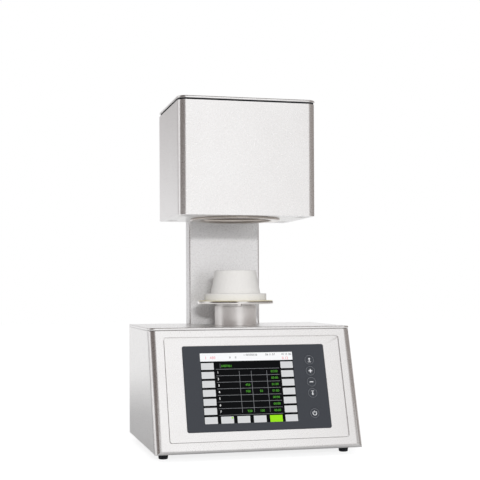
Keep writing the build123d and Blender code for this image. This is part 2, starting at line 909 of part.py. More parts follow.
# Firing plug of ceramic fibre
plug_flange_top = table_top + plug_flange
plug_top = plug_flange_top + plug_cone_height
with BuildPart() as firing_plug:
    with BuildSketch(lift_section):
        with BuildLine():
            Polyline(
                (0, table_top),
                (plug_flange_radius, table_top),
                (plug_flange_radius, plug_flange_top),
                (plug_cone_low, plug_flange_top),
                (plug_cone_high, plug_top),
                (tray_recess_radius, plug_top),
                (tray_recess_radius, plug_top - tray_recess),
                (0, plug_top - tray_recess),
                close=True,
            )
        make_face()
    revolve(axis=lift_axis)
    chamfer(firing_plug.edges().filter_by(GeomType.CIRCLE).sort_by(SortBy.RADIUS)[-2:], length=0.6)
save(firing_plug, "firing_plug")

# Carriage at the foot of the tube, on two guide rods
guide_spots = [(sx * guide_spread, 0) for sx in (-1, 1)]
carriage_width = 2 * (guide_spread + guide_bush_radius + carriage_edge)
with BuildPart() as lift_carriage:
    with BuildSketch(level(carriage_low)):
        RectangleRounded(carriage_width, carriage_depth, carriage_corner)
        Circle(nut_radius + press_play, mode=Mode.SUBTRACT)
        with Locations(guide_spots):
            Circle(guide_bush_radius + press_play, mode=Mode.SUBTRACT)
    extrude(amount=carriage_thickness)
save(lift_carriage, "lift_carriage")

with BuildPart() as spindle_nut:
    with BuildSketch(level(carriage_low)):
        Circle(nut_radius)
        Circle(spindle_radius + running_fit, mode=Mode.SUBTRACT)
    extrude(amount=carriage_thickness)
    with BuildSketch(level(carriage_top)):
        Circle(nut_flange_radius)
        Circle(spindle_radius + running_fit, mode=Mode.SUBTRACT)
    extrude(amount=nut_flange)
save(spindle_nut, "spindle_nut")

with BuildPart() as carriage_bushes:
    with BuildSketch(level(carriage_top - guide_bush_length)):
        with Locations(guide_spots):
            Circle(guide_bush_radius)
            Circle(guide_radius + running_fit, mode=Mode.SUBTRACT)
    extrude(amount=guide_bush_length)
save(carriage_bushes, "carriage_bushes")

# Fixed frame of the lift: plate on the pan, guide rods and bridge under the top plate
with BuildPart() as lift_base_plate:
    with BuildSketch(level(pan_top)):
        RectangleRounded(carriage_width, carriage_depth, carriage_corner)
        Circle(spindle_radius + running_fit, mode=Mode.SUBTRACT)
    extrude(amount=lift_plate_thickness)
save(lift_base_plate, "lift_base_plate")

with BuildPart() as guide_rods:
    with BuildSketch(level(lift_plate_top)):
        with Locations(guide_spots):
            Circle(guide_radius)
    extrude(amount=bridge_low - lift_plate_top)
save(guide_rods, "guide_rods")

with BuildPart() as lift_bridge:
    with BuildSketch(level(bridge_low)):
        RectangleRounded(carriage_width, 2 * (sleeve_radius + bridge_edge), carriage_corner)
        Circle(tube_radius + 2 * part_gap, mode=Mode.SUBTRACT)
    extrude(amount=bridge_thickness)
save(lift_bridge, "lift_bridge")

# Spindle with its toothed-belt pulley, turning in a bore of the plate
spindle_top = bridge_top + spindle_end
with BuildPart() as lift_spindle:
    with BuildSketch(level(pan_top + part_gap)):
        Circle(spindle_radius)
    extrude(amount=spindle_top - pan_top - part_gap)
    chamfer(lift_spindle.edges().group_by(Axis.Z)[-1], length=1.0)
    with Locations((0, lift_y, pulley_low)):
        add(pulley(spindle_pulley_radius))
save(lift_spindle, "lift_spindle")

# Gear motor on its bracket, the motor pulley and the belt
motor_half = motor_width / 2
motor_y = lift_y - tube_radius - motor_half - motor_gap
motor_plate_low = pulley_low + pulley_height + pulley_rim + sheet
motor_low = motor_plate_low + motor_plate
pillar_x = motor_half + pillar_radius + pulley_lift
pillar_y = motor_half - pillar_radius
pillar_spots = [(sx * pillar_x, motor_y + sy * pillar_y) for sx in (-1, 1) for sy in (-1, 1)]
with BuildPart() as motor_bracket:
    with BuildSketch(Plane.XY.offset(motor_plate_low)):
        with Locations((0, motor_y)):
            RectangleRounded(2 * (pillar_x + pillar_radius), motor_width, pillar_radius - part_gap)
            Circle(motor_pilot_radius, mode=Mode.SUBTRACT)
    extrude(amount=motor_plate)
    with BuildSketch(Plane.XY.offset(pan_top)):
        with Locations(pillar_spots):
            Circle(pillar_radius)
    extrude(amount=motor_plate_low - pan_top)
save(motor_bracket, "motor_bracket")

with BuildPart() as lift_motor:
    with BuildSketch(Plane.XY.offset(motor_low)) as motor_profile:
        with Locations((0, motor_y)):
            Rectangle(motor_width, motor_width)
        chamfer(motor_profile.vertices(), length=pillar_radius)
        with Locations((0, motor_y)):
            Circle(motor_shaft_radius + part_gap, mode=Mode.SUBTRACT)
    extrude(amount=motor_height)
save(lift_motor, "lift_motor")

with BuildPart() as motor_pulley:
    with Locations((0, motor_y, pulley_low)):
        add(pulley(motor_pulley_radius))
    with BuildSketch(Plane.XY.offset(pulley_low)):
        with Locations((0, motor_y)):
            Circle(motor_shaft_radius)
    extrude(amount=motor_low + spindle_end - pulley_low)
save(motor_pulley, "motor_pulley")

belt_low = pulley_low + part_gap
belt_height = pulley_height - 2 * part_gap
belt_inner = (spindle_pulley_radius + part_gap, motor_pulley_radius + part_gap)
with BuildPart() as drive_belt:
    with BuildSketch(Plane.XY.offset(belt_low)):
        with Locations((0, lift_y)):
            Circle(belt_inner[0] + belt_thickness)
        with Locations((0, motor_y)):
            Circle(belt_inner[1] + belt_thickness)
        make_hull()
    extrude(amount=belt_height)
    with BuildSketch(Plane.XY.offset(belt_low)):
        with Locations((0, lift_y)):
            Circle(belt_inner[0])
        with Locations((0, motor_y)):
            Circle(belt_inner[1])
        make_hull()
    extrude(amount=belt_height, mode=Mode.SUBTRACT)
save(drive_belt, "drive_belt")

# Rear panels: connections on the right, fan on the left, set back between the sides
panel_y = back_y - recess_depth
panel_inner = column_width / 2 + column_play
panel_outer = side_x - sheet
panel_middle = (panel_inner + panel_outer) / 2
panel_height = wall_top - pan_top
inlet_size = (24.0, 62.0)
socket_size = (26.0, 34.0)
cutout_play = 0.3
inlet_x = panel_middle + connector_pitch / 2
socket_x = panel_middle - connector_pitch / 2
inlet_z = pan_top + connector_height
nipple_z = wall_top - nipple_drop
fan_x = -panel_middle
fan_z = wall_top - fan_drop - fan_size / 2
with BuildPart() as rear_panel_right:
    with BuildSketch(upright(panel_y)):
        with Locations((panel_middle, pan_top + panel_height / 2)):
            Rectangle(panel_outer - panel_inner, panel_height)
        with Locations((inlet_x, inlet_z)):
            Rectangle(inlet_size[0] + 2 * cutout_play, inlet_size[1] + 2 * cutout_play, mode=Mode.SUBTRACT)
        with Locations((socket_x, inlet_z)):
            Rectangle(socket_size[0] + 2 * cutout_play, socket_size[1] + 2 * cutout_play, mode=Mode.SUBTRACT)
        with Locations((socket_x, nipple_z)):
            Circle(nipple_radius + cutout_play, mode=Mode.SUBTRACT)
    extrude(amount=sheet)
save(rear_panel_right, "rear_panel_right")

with BuildPart() as rear_panel_left:
    with BuildSketch(upright(panel_y)):
        with Locations((-panel_middle, pan_top + panel_height / 2)):
            Rectangle(panel_outer - panel_inner, panel_height)
        with Locations((fan_x, fan_z)):
            Circle(fan_bore, mode=Mode.SUBTRACT)
        with Locations((fan_x, (pan_top + fan_z - fan_size / 2) / 2)):
            with GridLocations(vent_length + vent_pitch, vent_pitch, 2, 4):
                SlotOverall(vent_length, vent_width, mode=Mode.SUBTRACT)
    extrude(amount=sheet)
save(rear_panel_left, "rear_panel_left")

# Power inlet: a socket with three pins below the well of the main switch
rocker_radius = 11.0
rocker_width = 14.0
rocker_flat = 9.0
rocker_set_back = 5.0
switch_rise = 16.0
pivot_y = panel_y - rocker_set_back
switch_z = inlet_z + switch_rise
inlet_flange = 2.0
inlet_depth = 22.0
well_size = (22.0, 16.0)
well_depth = 16.0
pin_depth = 5.0
well_z = inlet_z - switch_rise
pin_size = (2.0, 4.0)
pin_pitch = 7.0
pin_drop = 2.0
flange_margin = 6.0
with BuildPart() as power_inlet:
    with BuildSketch(upright(panel_y)):
        with Locations((inlet_x, inlet_z)):
            RectangleRounded(inlet_size[0] + flange_margin, inlet_size[1] + flange_margin, flange_margin / 2)
    extrude(amount=-inlet_flange)
    with BuildSketch(upright(panel_y)):
        with Locations((inlet_x, inlet_z)):
            Rectangle(*inlet_size)
    extrude(amount=inlet_depth)
    with BuildSketch(upright(panel_y + inlet_flange)):
        with Locations((inlet_x, well_z)):
            RectangleRounded(*well_size, flange_margin / 2)
    extrude(amount=well_depth, mode=Mode.SUBTRACT)
    with BuildSketch(upright(panel_y + inlet_flange - well_depth)):
        with Locations(
            (inlet_x - pin_pitch, well_z - pin_drop),
            (inlet_x, well_z + pin_drop),
            (inlet_x + pin_pitch, well_z - pin_drop),
        ):
            Rectangle(*pin_size)
    extrude(amount=-(well_depth - pin_depth))
    with BuildSketch(Plane.YZ.offset(inlet_x - rocker_width / 2 - part_gap)):
        with Locations((pivot_y, switch_z)):
            Circle(rocker_radius + part_gap)
    extrude(amount=rocker_width + 2 * part_gap, mode=Mode.SUBTRACT)
save(power_inlet, "power_inlet")

# Switched outlet for the vacuum pump
socket_flange = (socket_size[0] + flange_margin, socket_size[1] + flange_margin)
socket_groove = 2.4
socket_groove_depth = 4.0
with BuildPart() as pump_socket:
    with BuildSketch(upright(panel_y)):
        with Locations((socket_x, inlet_z)):
            RectangleRounded(*socket_flange, flange_margin / 2)
    extrude(amount=-inlet_flange)
    with BuildSketch(upright(panel_y)):
        with Locations((socket_x, inlet_z)):
            Rectangle(*socket_size)
    extrude(amount=inlet_depth)
    with BuildSketch(upright(panel_y + inlet_flange)):
        with Locations((socket_x, inlet_z)):
            RectangleRounded(well_size[0] + socket_groove, well_size[1] + socket_groove, flange_margin / 2)
            RectangleRounded(*well_size, flange_margin / 2, mode=Mode.SUBTRACT)
        with Locations(
            (socket_x - pin_pitch, inlet_z - pin_drop),
            (socket_x, inlet_z + pin_drop),
            (socket_x + pin_pitch, inlet_z - pin_drop),
        ):
            Rectangle(*pin_size)
    extrude(amount=socket_groove_depth, mode=Mode.SUBTRACT)
save(pump_socket, "pump_socket")

# Rocker of the main switch, which turns about a cross pin
half_throw = radians(rocker_throw / 2)
rocker_face = Plane(
    origin=(inlet_x, pivot_y + rocker_flat * cos(half_throw), switch_z + rocker_flat * sin(half_throw)),
    x_dir=(1, 0, 0),
    z_dir=(0, cos(half_throw), sin(half_throw)),
)
with BuildPart() as main_switch_rocker:
    with BuildSketch(Plane.YZ.offset(inlet_x - rocker_width / 2)):
        with Locations((pivot_y, switch_z)):
            Circle(rocker_radius)
    extrude(amount=rocker_width)
    with BuildSketch(rocker_face):
        Rectangle(rocker_width, 3 * rocker_radius)
    extrude(amount=rocker_radius, mode=Mode.SUBTRACT)
save(main_switch_rocker, "main_switch_rocker")

# Vacuum valve behind the panel, with its hose nipple through the panel
with BuildPart() as vacuum_valve:
    with BuildSketch(upright(panel_y + nipple_length)):
        with Locations((socket_x, nipple_z)):
            Circle(nipple_radius)
    extrude(amount=nipple_length + sheet)
    with BuildSketch(upright(panel_y + nipple_nut)):
        with Locations((socket_x, nipple_z)):
            RegularPolygon(radius=nipple_nut_radius, side_count=6)
    extrude(amount=nipple_nut)
    with BuildSketch(upright(panel_y - sheet)):
        with Locations((socket_x, nipple_z)):
            RectangleRounded(valve_size, valve_size, nipple_nut)
    extrude(amount=valve_size)
    with BuildSketch(upright(panel_y - sheet - valve_size)):
        with Locations((socket_x, nipple_z)):
            Circle(valve_coil_radius)
    extrude(amount=valve_coil)
    with BuildSketch(upright(panel_y + nipple_length)):
        with Locations((socket_x, nipple_z)):
            Circle(nipple_bore)
    extrude(amount=nipple_length + sheet, mode=Mode.SUBTRACT)
save(vacuum_valve, "vacuum_valve")

# Fan in its frame, with a ring guard outside the panel
fan_front_y = panel_y - sheet
with BuildPart() as fan_frame:
    with BuildSketch(upright(fan_front_y)):
        with Locations((fan_x, fan_z)):
            RectangleRounded(fan_size, fan_size, fan_corner)
            Circle(fan_bore, mode=Mode.SUBTRACT)
    extrude(amount=fan_depth)
    with BuildSketch(upright(fan_front_y - fan_depth + spider)):
        with Locations((fan_x, fan_z)):
            Circle(hub_radius)
            Rectangle(2 * fan_bore + spider, spider_width)
            Rectangle(spider_width, 2 * fan_bore + spider)
    extrude(amount=spider)
save(fan_frame, "fan_frame")

rotor_length = fan_depth - spider - 2 * part_gap
blade_tip = fan_bore - blade_play
with BuildPart() as fan_rotor:
    with BuildSketch(upright(fan_front_y - part_gap)):
        with Locations((fan_x, fan_z)):
            Circle(hub_radius)
    extrude(amount=rotor_length)
    for n in range(blade_count):
        turn = radians(n * 360 / blade_count)
        blade_plane = Plane(
            origin=(fan_x, fan_front_y - part_gap - rotor_length / 2, fan_z),
            x_dir=(sin(turn) * sin(blade_pitch), cos(blade_pitch), -cos(turn) * sin(blade_pitch)),
            z_dir=(cos(turn), 0, sin(turn)),
        )
        with BuildSketch(blade_plane.offset(hub_radius - blade_play)):
            Rectangle(rotor_length - spider, blade_thickness)
        extrude(amount=blade_tip - hub_radius + blade_play)
save(fan_rotor, "fan_rotor")

with BuildPart() as fan_guard:
    with BuildSketch(upright(panel_y + guard_wire)):
        for ring in range(1, guard_rings + 1):
            with Locations((fan_x, fan_z)):
                Circle(ring * guard_pitch + guard_wire / 2)
                Circle(ring * guard_pitch - guard_wire / 2, mode=Mode.SUBTRACT)
        with Locations((fan_x, fan_z)):
            with PolarLocations(0, 4, 45, 180):
                Rectangle(2 * (fan_bore + guard_overlap), guard_wire)
    extrude(amount=guard_wire)
save(fan_guard, "fan_guard")

# Control board at the left and power supply at the right; spacers carry every board
board_low = pan_top + board_lift
board_inner = carriage_width / 2 + board_room
board_width = panel_outer - side_lip - board_inner
board_x = -(board_inner + board_width / 2)
board_y = fan_front_y - fan_depth - board_to_fan - board_length / 2
post_x = board_width / 2 - standoff_inset
post_y = board_length / 2 - standoff_inset
standoff_spots = [(board_x + sx * post_x, board_y + sy * post_y) for sx in (-1, 1) for sy in (-1, 1)]
with BuildPart() as board_spacers:
    with BuildSketch(front_plane.offset(-carrier_face)):
        with Locations(carrier_spots):
            Circle(spacer_radius)
    extrude(amount=carrier_face - front_wall - plate_backing)
    with BuildSketch(front_plane.offset(-carrier_face)):
        with Locations(board_spots):
            Circle(spacer_radius)
    extrude(amount=carrier_face - board_face - board_thickness)
    with BuildSketch(Plane.XY.offset(pan_top)):
        with Locations(standoff_spots):
            RegularPolygon(radius=spacer_radius, side_count=6)
    extrude(amount=board_low - pan_top)
save(board_spacers, "board_spacers")

with BuildPart() as control_board:
    with BuildSketch(Plane.XY.offset(board_low)):
        with Locations((board_x, board_y)):
            Rectangle(board_width, board_length)
    extrude(amount=board_thickness)
    with BuildSketch(Plane.XY.offset(board_low + board_thickness)):
        with Locations((board_x - board_width / 4, board_y - relay_pitch)):
            with GridLocations(0, relay_pitch, 1, 3):
                Rectangle(relay_width, relay_depth)
    extrude(amount=relay_height)
    with BuildSketch(Plane.XY.offset(board_low + board_thickness)):
        with Locations([(x, board_y + 2 * relay_pitch) for x in (board_x, board_x + board_width / 4)]):
            Circle(capacitor_radius)
    extrude(amount=capacitor_height)
    with BuildSketch(Plane.XY.offset(board_low + board_thickness)):
        with Locations((board_x + board_width / 4, board_y - relay_pitch)):
            Rectangle(chip_width, chip_width)
    extrude(amount=chip_height)
save(control_board, "control_board")

supply_inner = carriage_width / 2 + carriage_edge
supply_width = panel_outer - supply_inner - board_room
supply_spot = (supply_inner + supply_width / 2, panel_y - inlet_depth - board_to_fan - supply_length / 2)
with BuildPart() as power_supply:
    with BuildSketch(Plane.XY.offset(pan_top)):
        with Locations(supply_spot):
            Rectangle(supply_width, supply_length)
    extrude(amount=supply_height)
    with BuildSketch(Plane.XY.offset(pan_top + supply_height)):
        with Locations(supply_spot):
            with GridLocations(0, vent_pitch, 1, 8):
                SlotOverall(supply_width - 2 * board_room, vent_width)
    extrude(amount=-sheet, mode=Mode.SUBTRACT)
save(power_supply, "power_supply")
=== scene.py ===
"""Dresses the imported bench-top porcelain furnace: sheet housing, turned parts, display, keys and a studio."""

import json
import math

import bmesh
import bpy
import numpy as np
from mathutils import Matrix, Vector

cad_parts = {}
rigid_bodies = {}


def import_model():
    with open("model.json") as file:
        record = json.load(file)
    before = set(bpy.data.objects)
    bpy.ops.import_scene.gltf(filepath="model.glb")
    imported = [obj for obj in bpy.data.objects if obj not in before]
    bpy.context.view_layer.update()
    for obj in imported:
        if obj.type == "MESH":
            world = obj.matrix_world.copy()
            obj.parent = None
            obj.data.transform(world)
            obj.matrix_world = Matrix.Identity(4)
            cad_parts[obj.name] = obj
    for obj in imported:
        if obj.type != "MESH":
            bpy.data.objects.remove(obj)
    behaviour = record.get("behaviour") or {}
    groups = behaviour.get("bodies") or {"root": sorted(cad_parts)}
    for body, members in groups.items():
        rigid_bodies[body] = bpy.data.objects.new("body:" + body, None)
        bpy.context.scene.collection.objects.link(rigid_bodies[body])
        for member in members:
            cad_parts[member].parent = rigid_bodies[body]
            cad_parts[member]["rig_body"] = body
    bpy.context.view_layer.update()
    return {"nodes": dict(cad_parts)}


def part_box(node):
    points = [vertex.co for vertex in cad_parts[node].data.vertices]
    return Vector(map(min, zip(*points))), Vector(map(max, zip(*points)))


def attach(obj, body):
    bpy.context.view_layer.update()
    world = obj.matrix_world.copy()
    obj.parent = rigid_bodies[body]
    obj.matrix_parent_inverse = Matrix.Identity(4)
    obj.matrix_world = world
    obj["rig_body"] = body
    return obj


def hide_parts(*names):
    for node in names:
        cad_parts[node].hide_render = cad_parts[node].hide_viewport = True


bl_info = {
    "name": "Porcelain furnace",
    "version": (1, 0, 0),
    "blender": (4, 5, 0),
    "location": "3D View > Sidebar > Furnace",
    "description": "Builds the visible pieces and materials of a bench-top porcelain furnace",
    "category": "Object",
}

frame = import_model()
MM = 0.001


# ---- sizes read from the frame

def middle(node):
    """The centre of a node's box."""
    low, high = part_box(node)
    return (low + high) / 2


LIFT_AXIS = middle("lift_tube")
ACROSS = np.array((1.0, 0.0, 0.0))
UP_SLOPE = np.array((middle("key_table_up") - middle("key_power")).normalized())
OUT = np.cross(ACROSS, UP_SLOPE)


def along(node, direction):
    """The lowest and highest reach of a node's points along a direction."""
    points = np.array([v.co for v in frame["nodes"][node].data.vertices])
    reach = points @ direction
    return reach.min(), reach.max()


GLASS_FACE = along("control_glass", OUT)[1]
GLASS_V = sum(along("control_glass", UP_SLOPE)) / 2


def on_panel(u, v, height=0.0):
    """Points on the sloping panel: u across and v up the slope from the glass's middle, height off its face."""
    u, v, height = np.broadcast_arrays(u, v, height)
    flat = np.multiply.outer(u, ACROSS) + np.multiply.outer(v + GLASS_V, UP_SLOPE)
    return flat + np.multiply.outer(height + GLASS_FACE, OUT)


# ---- settings that a user would change

class FurnaceFinish(bpy.types.PropertyGroup):
    """Colours of the visible finishes."""

    housing: bpy.props.StringProperty(
        name="Housing", description="Satin metal of the housing, as sRGB hex", default="#f0efee"
    )
    column: bpy.props.StringProperty(
        name="Column", description="Paint of the column, as sRGB hex", default="#e6e5e5"
    )
    slate: bpy.props.StringProperty(
        name="Panel", description="Print behind the control glass, as sRGB hex", default="#3a3d43"
    )
    ceramic: bpy.props.StringProperty(
        name="Ceramic", description="Ceramic fibre of the firing plug, as sRGB hex", default="#ebe9e6"
    )
    seal: bpy.props.StringProperty(
        name="Seal", description="Silicone of the table seal, as sRGB hex", default="#efe6bb"
    )
    edge: bpy.props.FloatProperty(
        name="Sheet edge", description="Radius at the cut edges of the sheets", default=0.35 * MM,
        min=0.0, unit="LENGTH", precision=5
    )


class FurnacePlug(bpy.types.PropertyGroup):
    """Softness of the fired edges."""

    rim: bpy.props.FloatProperty(
        name="Rim radius", description="Rounding of the plug's edges", default=1.1 * MM, min=0.0,
        unit="LENGTH", precision=5
    )
    turns: bpy.props.IntProperty(
        name="Segments", description="Steps round a turned piece", default=192, min=24, max=512
    )


class FurnaceDisplay(bpy.types.PropertyGroup):
    """Layout of the display, measured from the middle of the control glass."""

    left: bpy.props.FloatProperty(
        name="Left edge", description="Left edge of the lit area", default=-80.9 * MM, unit="LENGTH", precision=5
    )
    right: bpy.props.FloatProperty(
        name="Right edge", description="Right edge of the lit area", default=58.2 * MM, unit="LENGTH", precision=5
    )
    low: bpy.props.FloatProperty(
        name="Lower edge", description="Lower edge of the lit area", default=-51.8 * MM, unit="LENGTH", precision=5
    )
    high: bpy.props.FloatProperty(
        name="Upper edge", description="Upper edge of the lit area", default=52.2 * MM, unit="LENGTH", precision=5
    )
    header: bpy.props.FloatProperty(
        name="Header", description="Height of the pale header bar", default=12.2 * MM, unit="LENGTH", precision=5
    )
    key_width: bpy.props.FloatProperty(
        name="Soft key width", description="Width of a soft key", default=18.7 * MM, unit="LENGTH", precision=5
    )
    key_height: bpy.props.FloatProperty(
        name="Soft key height", description="Height of a soft key", default=10.0 * MM, unit="LENGTH", precision=5
    )
    key_rows: bpy.props.IntProperty(name="Soft keys", description="Soft keys on each side", default=7, min=1)


class FurnaceStudio(bpy.types.PropertyGroup):
    """Camera and light."""

    lens: bpy.props.FloatProperty(name="Lens", description="Focal length", default=79.3, unit="CAMERA")
    spot: bpy.props.FloatVectorProperty(
        name="Camera place", description="Where the camera stands", default=(-0.39295, -1.5837, 0.2405),
        subtype="TRANSLATION", unit="LENGTH", size=3
    )
    yaw: bpy.props.FloatProperty(
        name="Yaw", description="Turn to the right", default=math.radians(13.95), subtype="ANGLE"
    )
    pitch: bpy.props.FloatProperty(
        name="Pitch", description="Tilt upwards", default=math.radians(0.1), subtype="ANGLE"
    )
    roll: bpy.props.FloatProperty(
        name="Roll", description="Lean", default=math.radians(-0.255), subtype="ANGLE"
    )
    rise: bpy.props.FloatProperty(name="Shift", description="Vertical shift of the view", default=0.1011)
    key_power: bpy.props.FloatProperty(
        name="Key light", description="Power of the front lamp", default=44.0, unit="POWER"
    )


# ---- materials

def linear(text):
    """Turns an sRGB hex value into a linear colour with full alpha."""
    parts = np.array([int(text[i:i + 2], 16) for i in (1, 3, 5)]) / 255
    low = parts / 12.92
    high = ((parts + 0.055) / 1.055) ** 2.4
    return tuple(np.where(parts <= 0.04045, low, high)) + (1.0,)


def shifted(text, step):
    """An sRGB hex value with each channel moved by a number of steps out of 255."""
    parts = (min(max(int(text[i:i + 2], 16) + step, 0), 255) for i in (1, 3, 5))
    return "#" + "".join(f"{part:02x}" for part in parts)


def node(tree, kind, values=None, links=None, **settings):
    """Adds a node with its settings, its input values and the outputs linked to its inputs."""
    made = tree.nodes.new(kind)
    for name, value in settings.items():
        setattr(made, name, value)
    for name, value in (values or {}).items():
        made.inputs[name].default_value = value
    for name, source in (links or {}).items():
        tree.links.new(source, made.inputs[name])
    return made


def finish(name, colour, metallic=0.0, roughness=0.5, **sockets):
    """A material with one plain shader; returns it with its tree, shader and millimetre coordinates."""
    material = bpy.data.materials.new(name)
    material.use_nodes = True
    material.diffuse_color = linear(colour)
    tree = material.node_tree
    shader = tree.nodes["Principled BSDF"]
    shader.inputs["Base Color"].default_value = linear(colour)
    shader.inputs["Metallic"].default_value = metallic
    shader.inputs["Roughness"].default_value = roughness
    for socket, value in sockets.items():
        shader.inputs[socket.replace("_", " ")].default_value = value
    place = node(tree, "ShaderNodeTexCoord")
    scaled = node(tree, "ShaderNodeMapping", {"Scale": (1000, 1000, 1000)}, {"Vector": place.outputs["Object"]})
    return material, tree, shader, scaled.outputs["Vector"]


def tinted(tree, shader, source, dark, light):
    """Lets a 0 to 1 pattern move the colour between two hex values."""
    ramp = node(
        tree, "ShaderNodeMix", {"A": linear(dark), "B": linear(light)}, {"Factor": source}, data_type="RGBA"
    )
    tree.links.new(ramp.outputs["Result"], shader.inputs["Base Color"])


def roughened(tree, shader, source, low, high):
    """Lets a 0 to 1 pattern move the roughness between two values."""
    span = node(tree, "ShaderNodeMapRange", {"To Min": low, "To Max": high}, {"Value": source})
    tree.links.new(span.outputs["Result"], shader.inputs["Roughness"])


def raised(tree, shader, source, depth):
    """Turns a 0 to 1 pattern into relief of the given depth in metres."""
    bump = node(tree, "ShaderNodeBump", {"Distance": depth, "Strength": 1.0}, {"Height": source})
    tree.links.new(bump.outputs["Normal"], shader.inputs["Normal"])


def satin_sheet(name, colour, shade, metallic, shaded_fold_metallic):
    """Satin sheet, lacquered: fine flake, a faint cloudiness and a soft gloss; upright folds are made more metallic
    so that they mirror the dark walls, a painted shade.
    """
    material, tree, shader, mm = finish(name, colour, metallic=metallic, roughness=0.28)
    cloud = node(tree, "ShaderNodeTexNoise", {"Scale": 1 / 45, "Detail": 2.0}, {"Vector": mm})
    tinted(tree, shader, cloud.outputs["Fac"], shade, colour)
    flake = node(tree, "ShaderNodeTexNoise", {"Scale": 1 / 0.9, "Detail": 3.0}, {"Vector": mm})
    roughened(tree, shader, flake.outputs["Fac"], 0.24, 0.32)
    raised(tree, shader, flake.outputs["Fac"], 0.0008 * MM)
    # on an upright fold both level parts of the normal are large; there the metallic is raised so that the fold
    # mirrors the dark walls: painted shade on the folds
    facing = node(tree, "ShaderNodeNewGeometry")
    parts = node(tree, "ShaderNodeSeparateXYZ", links={"Vector": facing.outputs["True Normal"]})
    fold = node(
        tree, "ShaderNodeMath", links={0: parts.outputs["X"], 1: parts.outputs["Y"]}, operation="MULTIPLY"
    )
    fold = node(tree, "ShaderNodeMath", links={0: fold.outputs[0]}, operation="ABSOLUTE")
    bare = node(
        tree, "ShaderNodeMapRange", {"From Max": 0.25, "To Min": metallic, "To Max": shaded_fold_metallic}, {"Value": fold.outputs[0]}
    )
    tree.links.new(bare.outputs["Result"], shader.inputs["Metallic"])
    return material


def slate_print(name, colour):
    """Dark grey print behind satin glass: even, slightly grained, with a soft sheen."""
    material, tree, shader, mm = finish(name, colour, roughness=0.38, Specular_IOR_Level=0.3)
    grain = node(tree, "ShaderNodeTexNoise", {"Scale": 1 / 0.7, "Detail": 2.0}, {"Vector": mm})
    tinted(tree, shader, grain.outputs["Fac"], shifted(colour, -4), shifted(colour, 4))
    raised(tree, shader, grain.outputs["Fac"], 0.006 * MM)
    return material


def fibre_ceramic(name, colour):
    """Vacuum-formed ceramic fibre, fired: chalky, dead matt, with short fibres and small pits."""
    material, tree, shader, mm = finish(name, colour, roughness=0.95, Specular_IOR_Level=0.2)
    fleck = node(tree, "ShaderNodeTexNoise", {"Scale": 1 / 3.5, "Detail": 6.0, "Roughness": 0.65}, {"Vector": mm})
    tinted(tree, shader, fleck.outputs["Fac"], shifted(colour, -7), shifted(colour, 5))
    fibre = node(tree, "ShaderNodeTexNoise", {"Scale": 1 / 0.8, "Detail": 5.0, "Distortion": 1.2}, {"Vector": mm})
    raised(tree, shader, fibre.outputs["Fac"], 0.12 * MM)
    return material


def turned_steel(name, colour, roughness, groove, metallic=1.0):
    """Stainless steel turned on a lathe: bright, with fine rings round the lift axis; blasted when less metallic."""
    material, tree, shader, mm = finish(name, colour, metallic=metallic, roughness=roughness)
    centred = node(
        tree, "ShaderNodeMapping", {"Location": (-LIFT_AXIS.x / MM, -LIFT_AXIS.y / MM, 0)}, {"Vector": mm}
    )
    # a wave repeats 20 / (2 pi) times per unit, so the rings lie 0.46 mm apart: coarse, so that they show
    rings = node(
        tree, "ShaderNodeTexWave", {"Scale": 1 / (0.7 * 2 * math.pi) * 3, "Distortion": 0.6, "Detail": 1.0},
        {"Vector": centred.outputs["Vector"]}, wave_type="RINGS", rings_direction="Z"
    )
    smear = node(tree, "ShaderNodeTexNoise", {"Scale": 1 / 14, "Detail": 3.0}, {"Vector": mm})
    roughened(tree, shader, smear.outputs["Fac"], roughness * 0.75, roughness * 1.3)
    raised(tree, shader, rings.outputs["Fac"], groove)
    return material


def drawn_steel(name, colour, roughness):
    """Ground and drawn metal: satin, with hairlines along the upright direction."""
    material, tree, shader, mm = finish(name, colour, metallic=1.0, roughness=roughness)
    stretched = node(tree, "ShaderNodeMapping", {"Scale": (2.2, 2.2, 0.04)}, {"Vector": mm})
    lines = node(tree, "ShaderNodeTexNoise", {"Scale": 1.0, "Detail": 3.0}, {"Vector": stretched.outputs["Vector"]})
    roughened(tree, shader, lines.outputs["Fac"], roughness * 0.8, roughness * 1.25)
    raised(tree, shader, lines.outputs["Fac"], 0.01 * MM)
    return material


def zinc_sheet(name):
    """Zinc-coated sheet: dull silver with faint spangles about 9 mm across."""
    material, tree, shader, mm = finish(name, "#b9bcbf", metallic=0.9, roughness=0.42)
    spangle = node(tree, "ShaderNodeTexVoronoi", {"Scale": 1 / 9}, {"Vector": mm})
    tinted(tree, shader, spangle.outputs["Distance"], "#c3c6c9", "#a9acb0")
    roughened(tree, shader, spangle.outputs["Distance"], 0.36, 0.52)
    return material


def moulded(name, colour, light, roughness, grain):
    """Moulded rubber or plastic: eroded mould texture, grain given in millimetres."""
    material, tree, shader, mm = finish(name, colour, roughness=roughness)
    spark = node(tree, "ShaderNodeTexNoise", {"Scale": 1 / grain, "Detail": 3.0}, {"Vector": mm})
    tinted(tree, shader, spark.outputs["Fac"], colour, light)
    raised(tree, shader, spark.outputs["Fac"], 0.03 * MM)
    return material


def bronze(name):
    """Bearing bronze, turned: warm yellow-brown with a light tarnish."""
    material, tree, shader, mm = finish(name, "#b08a50", metallic=1.0, roughness=0.32)
    stain = node(tree, "ShaderNodeTexNoise", {"Scale": 1 / 6, "Detail": 4.0}, {"Vector": mm})
    tinted(tree, shader, stain.outputs["Fac"], "#94703c", "#c09a60")
    roughened(tree, shader, stain.outputs["Fac"], 0.25, 0.42)
    return material


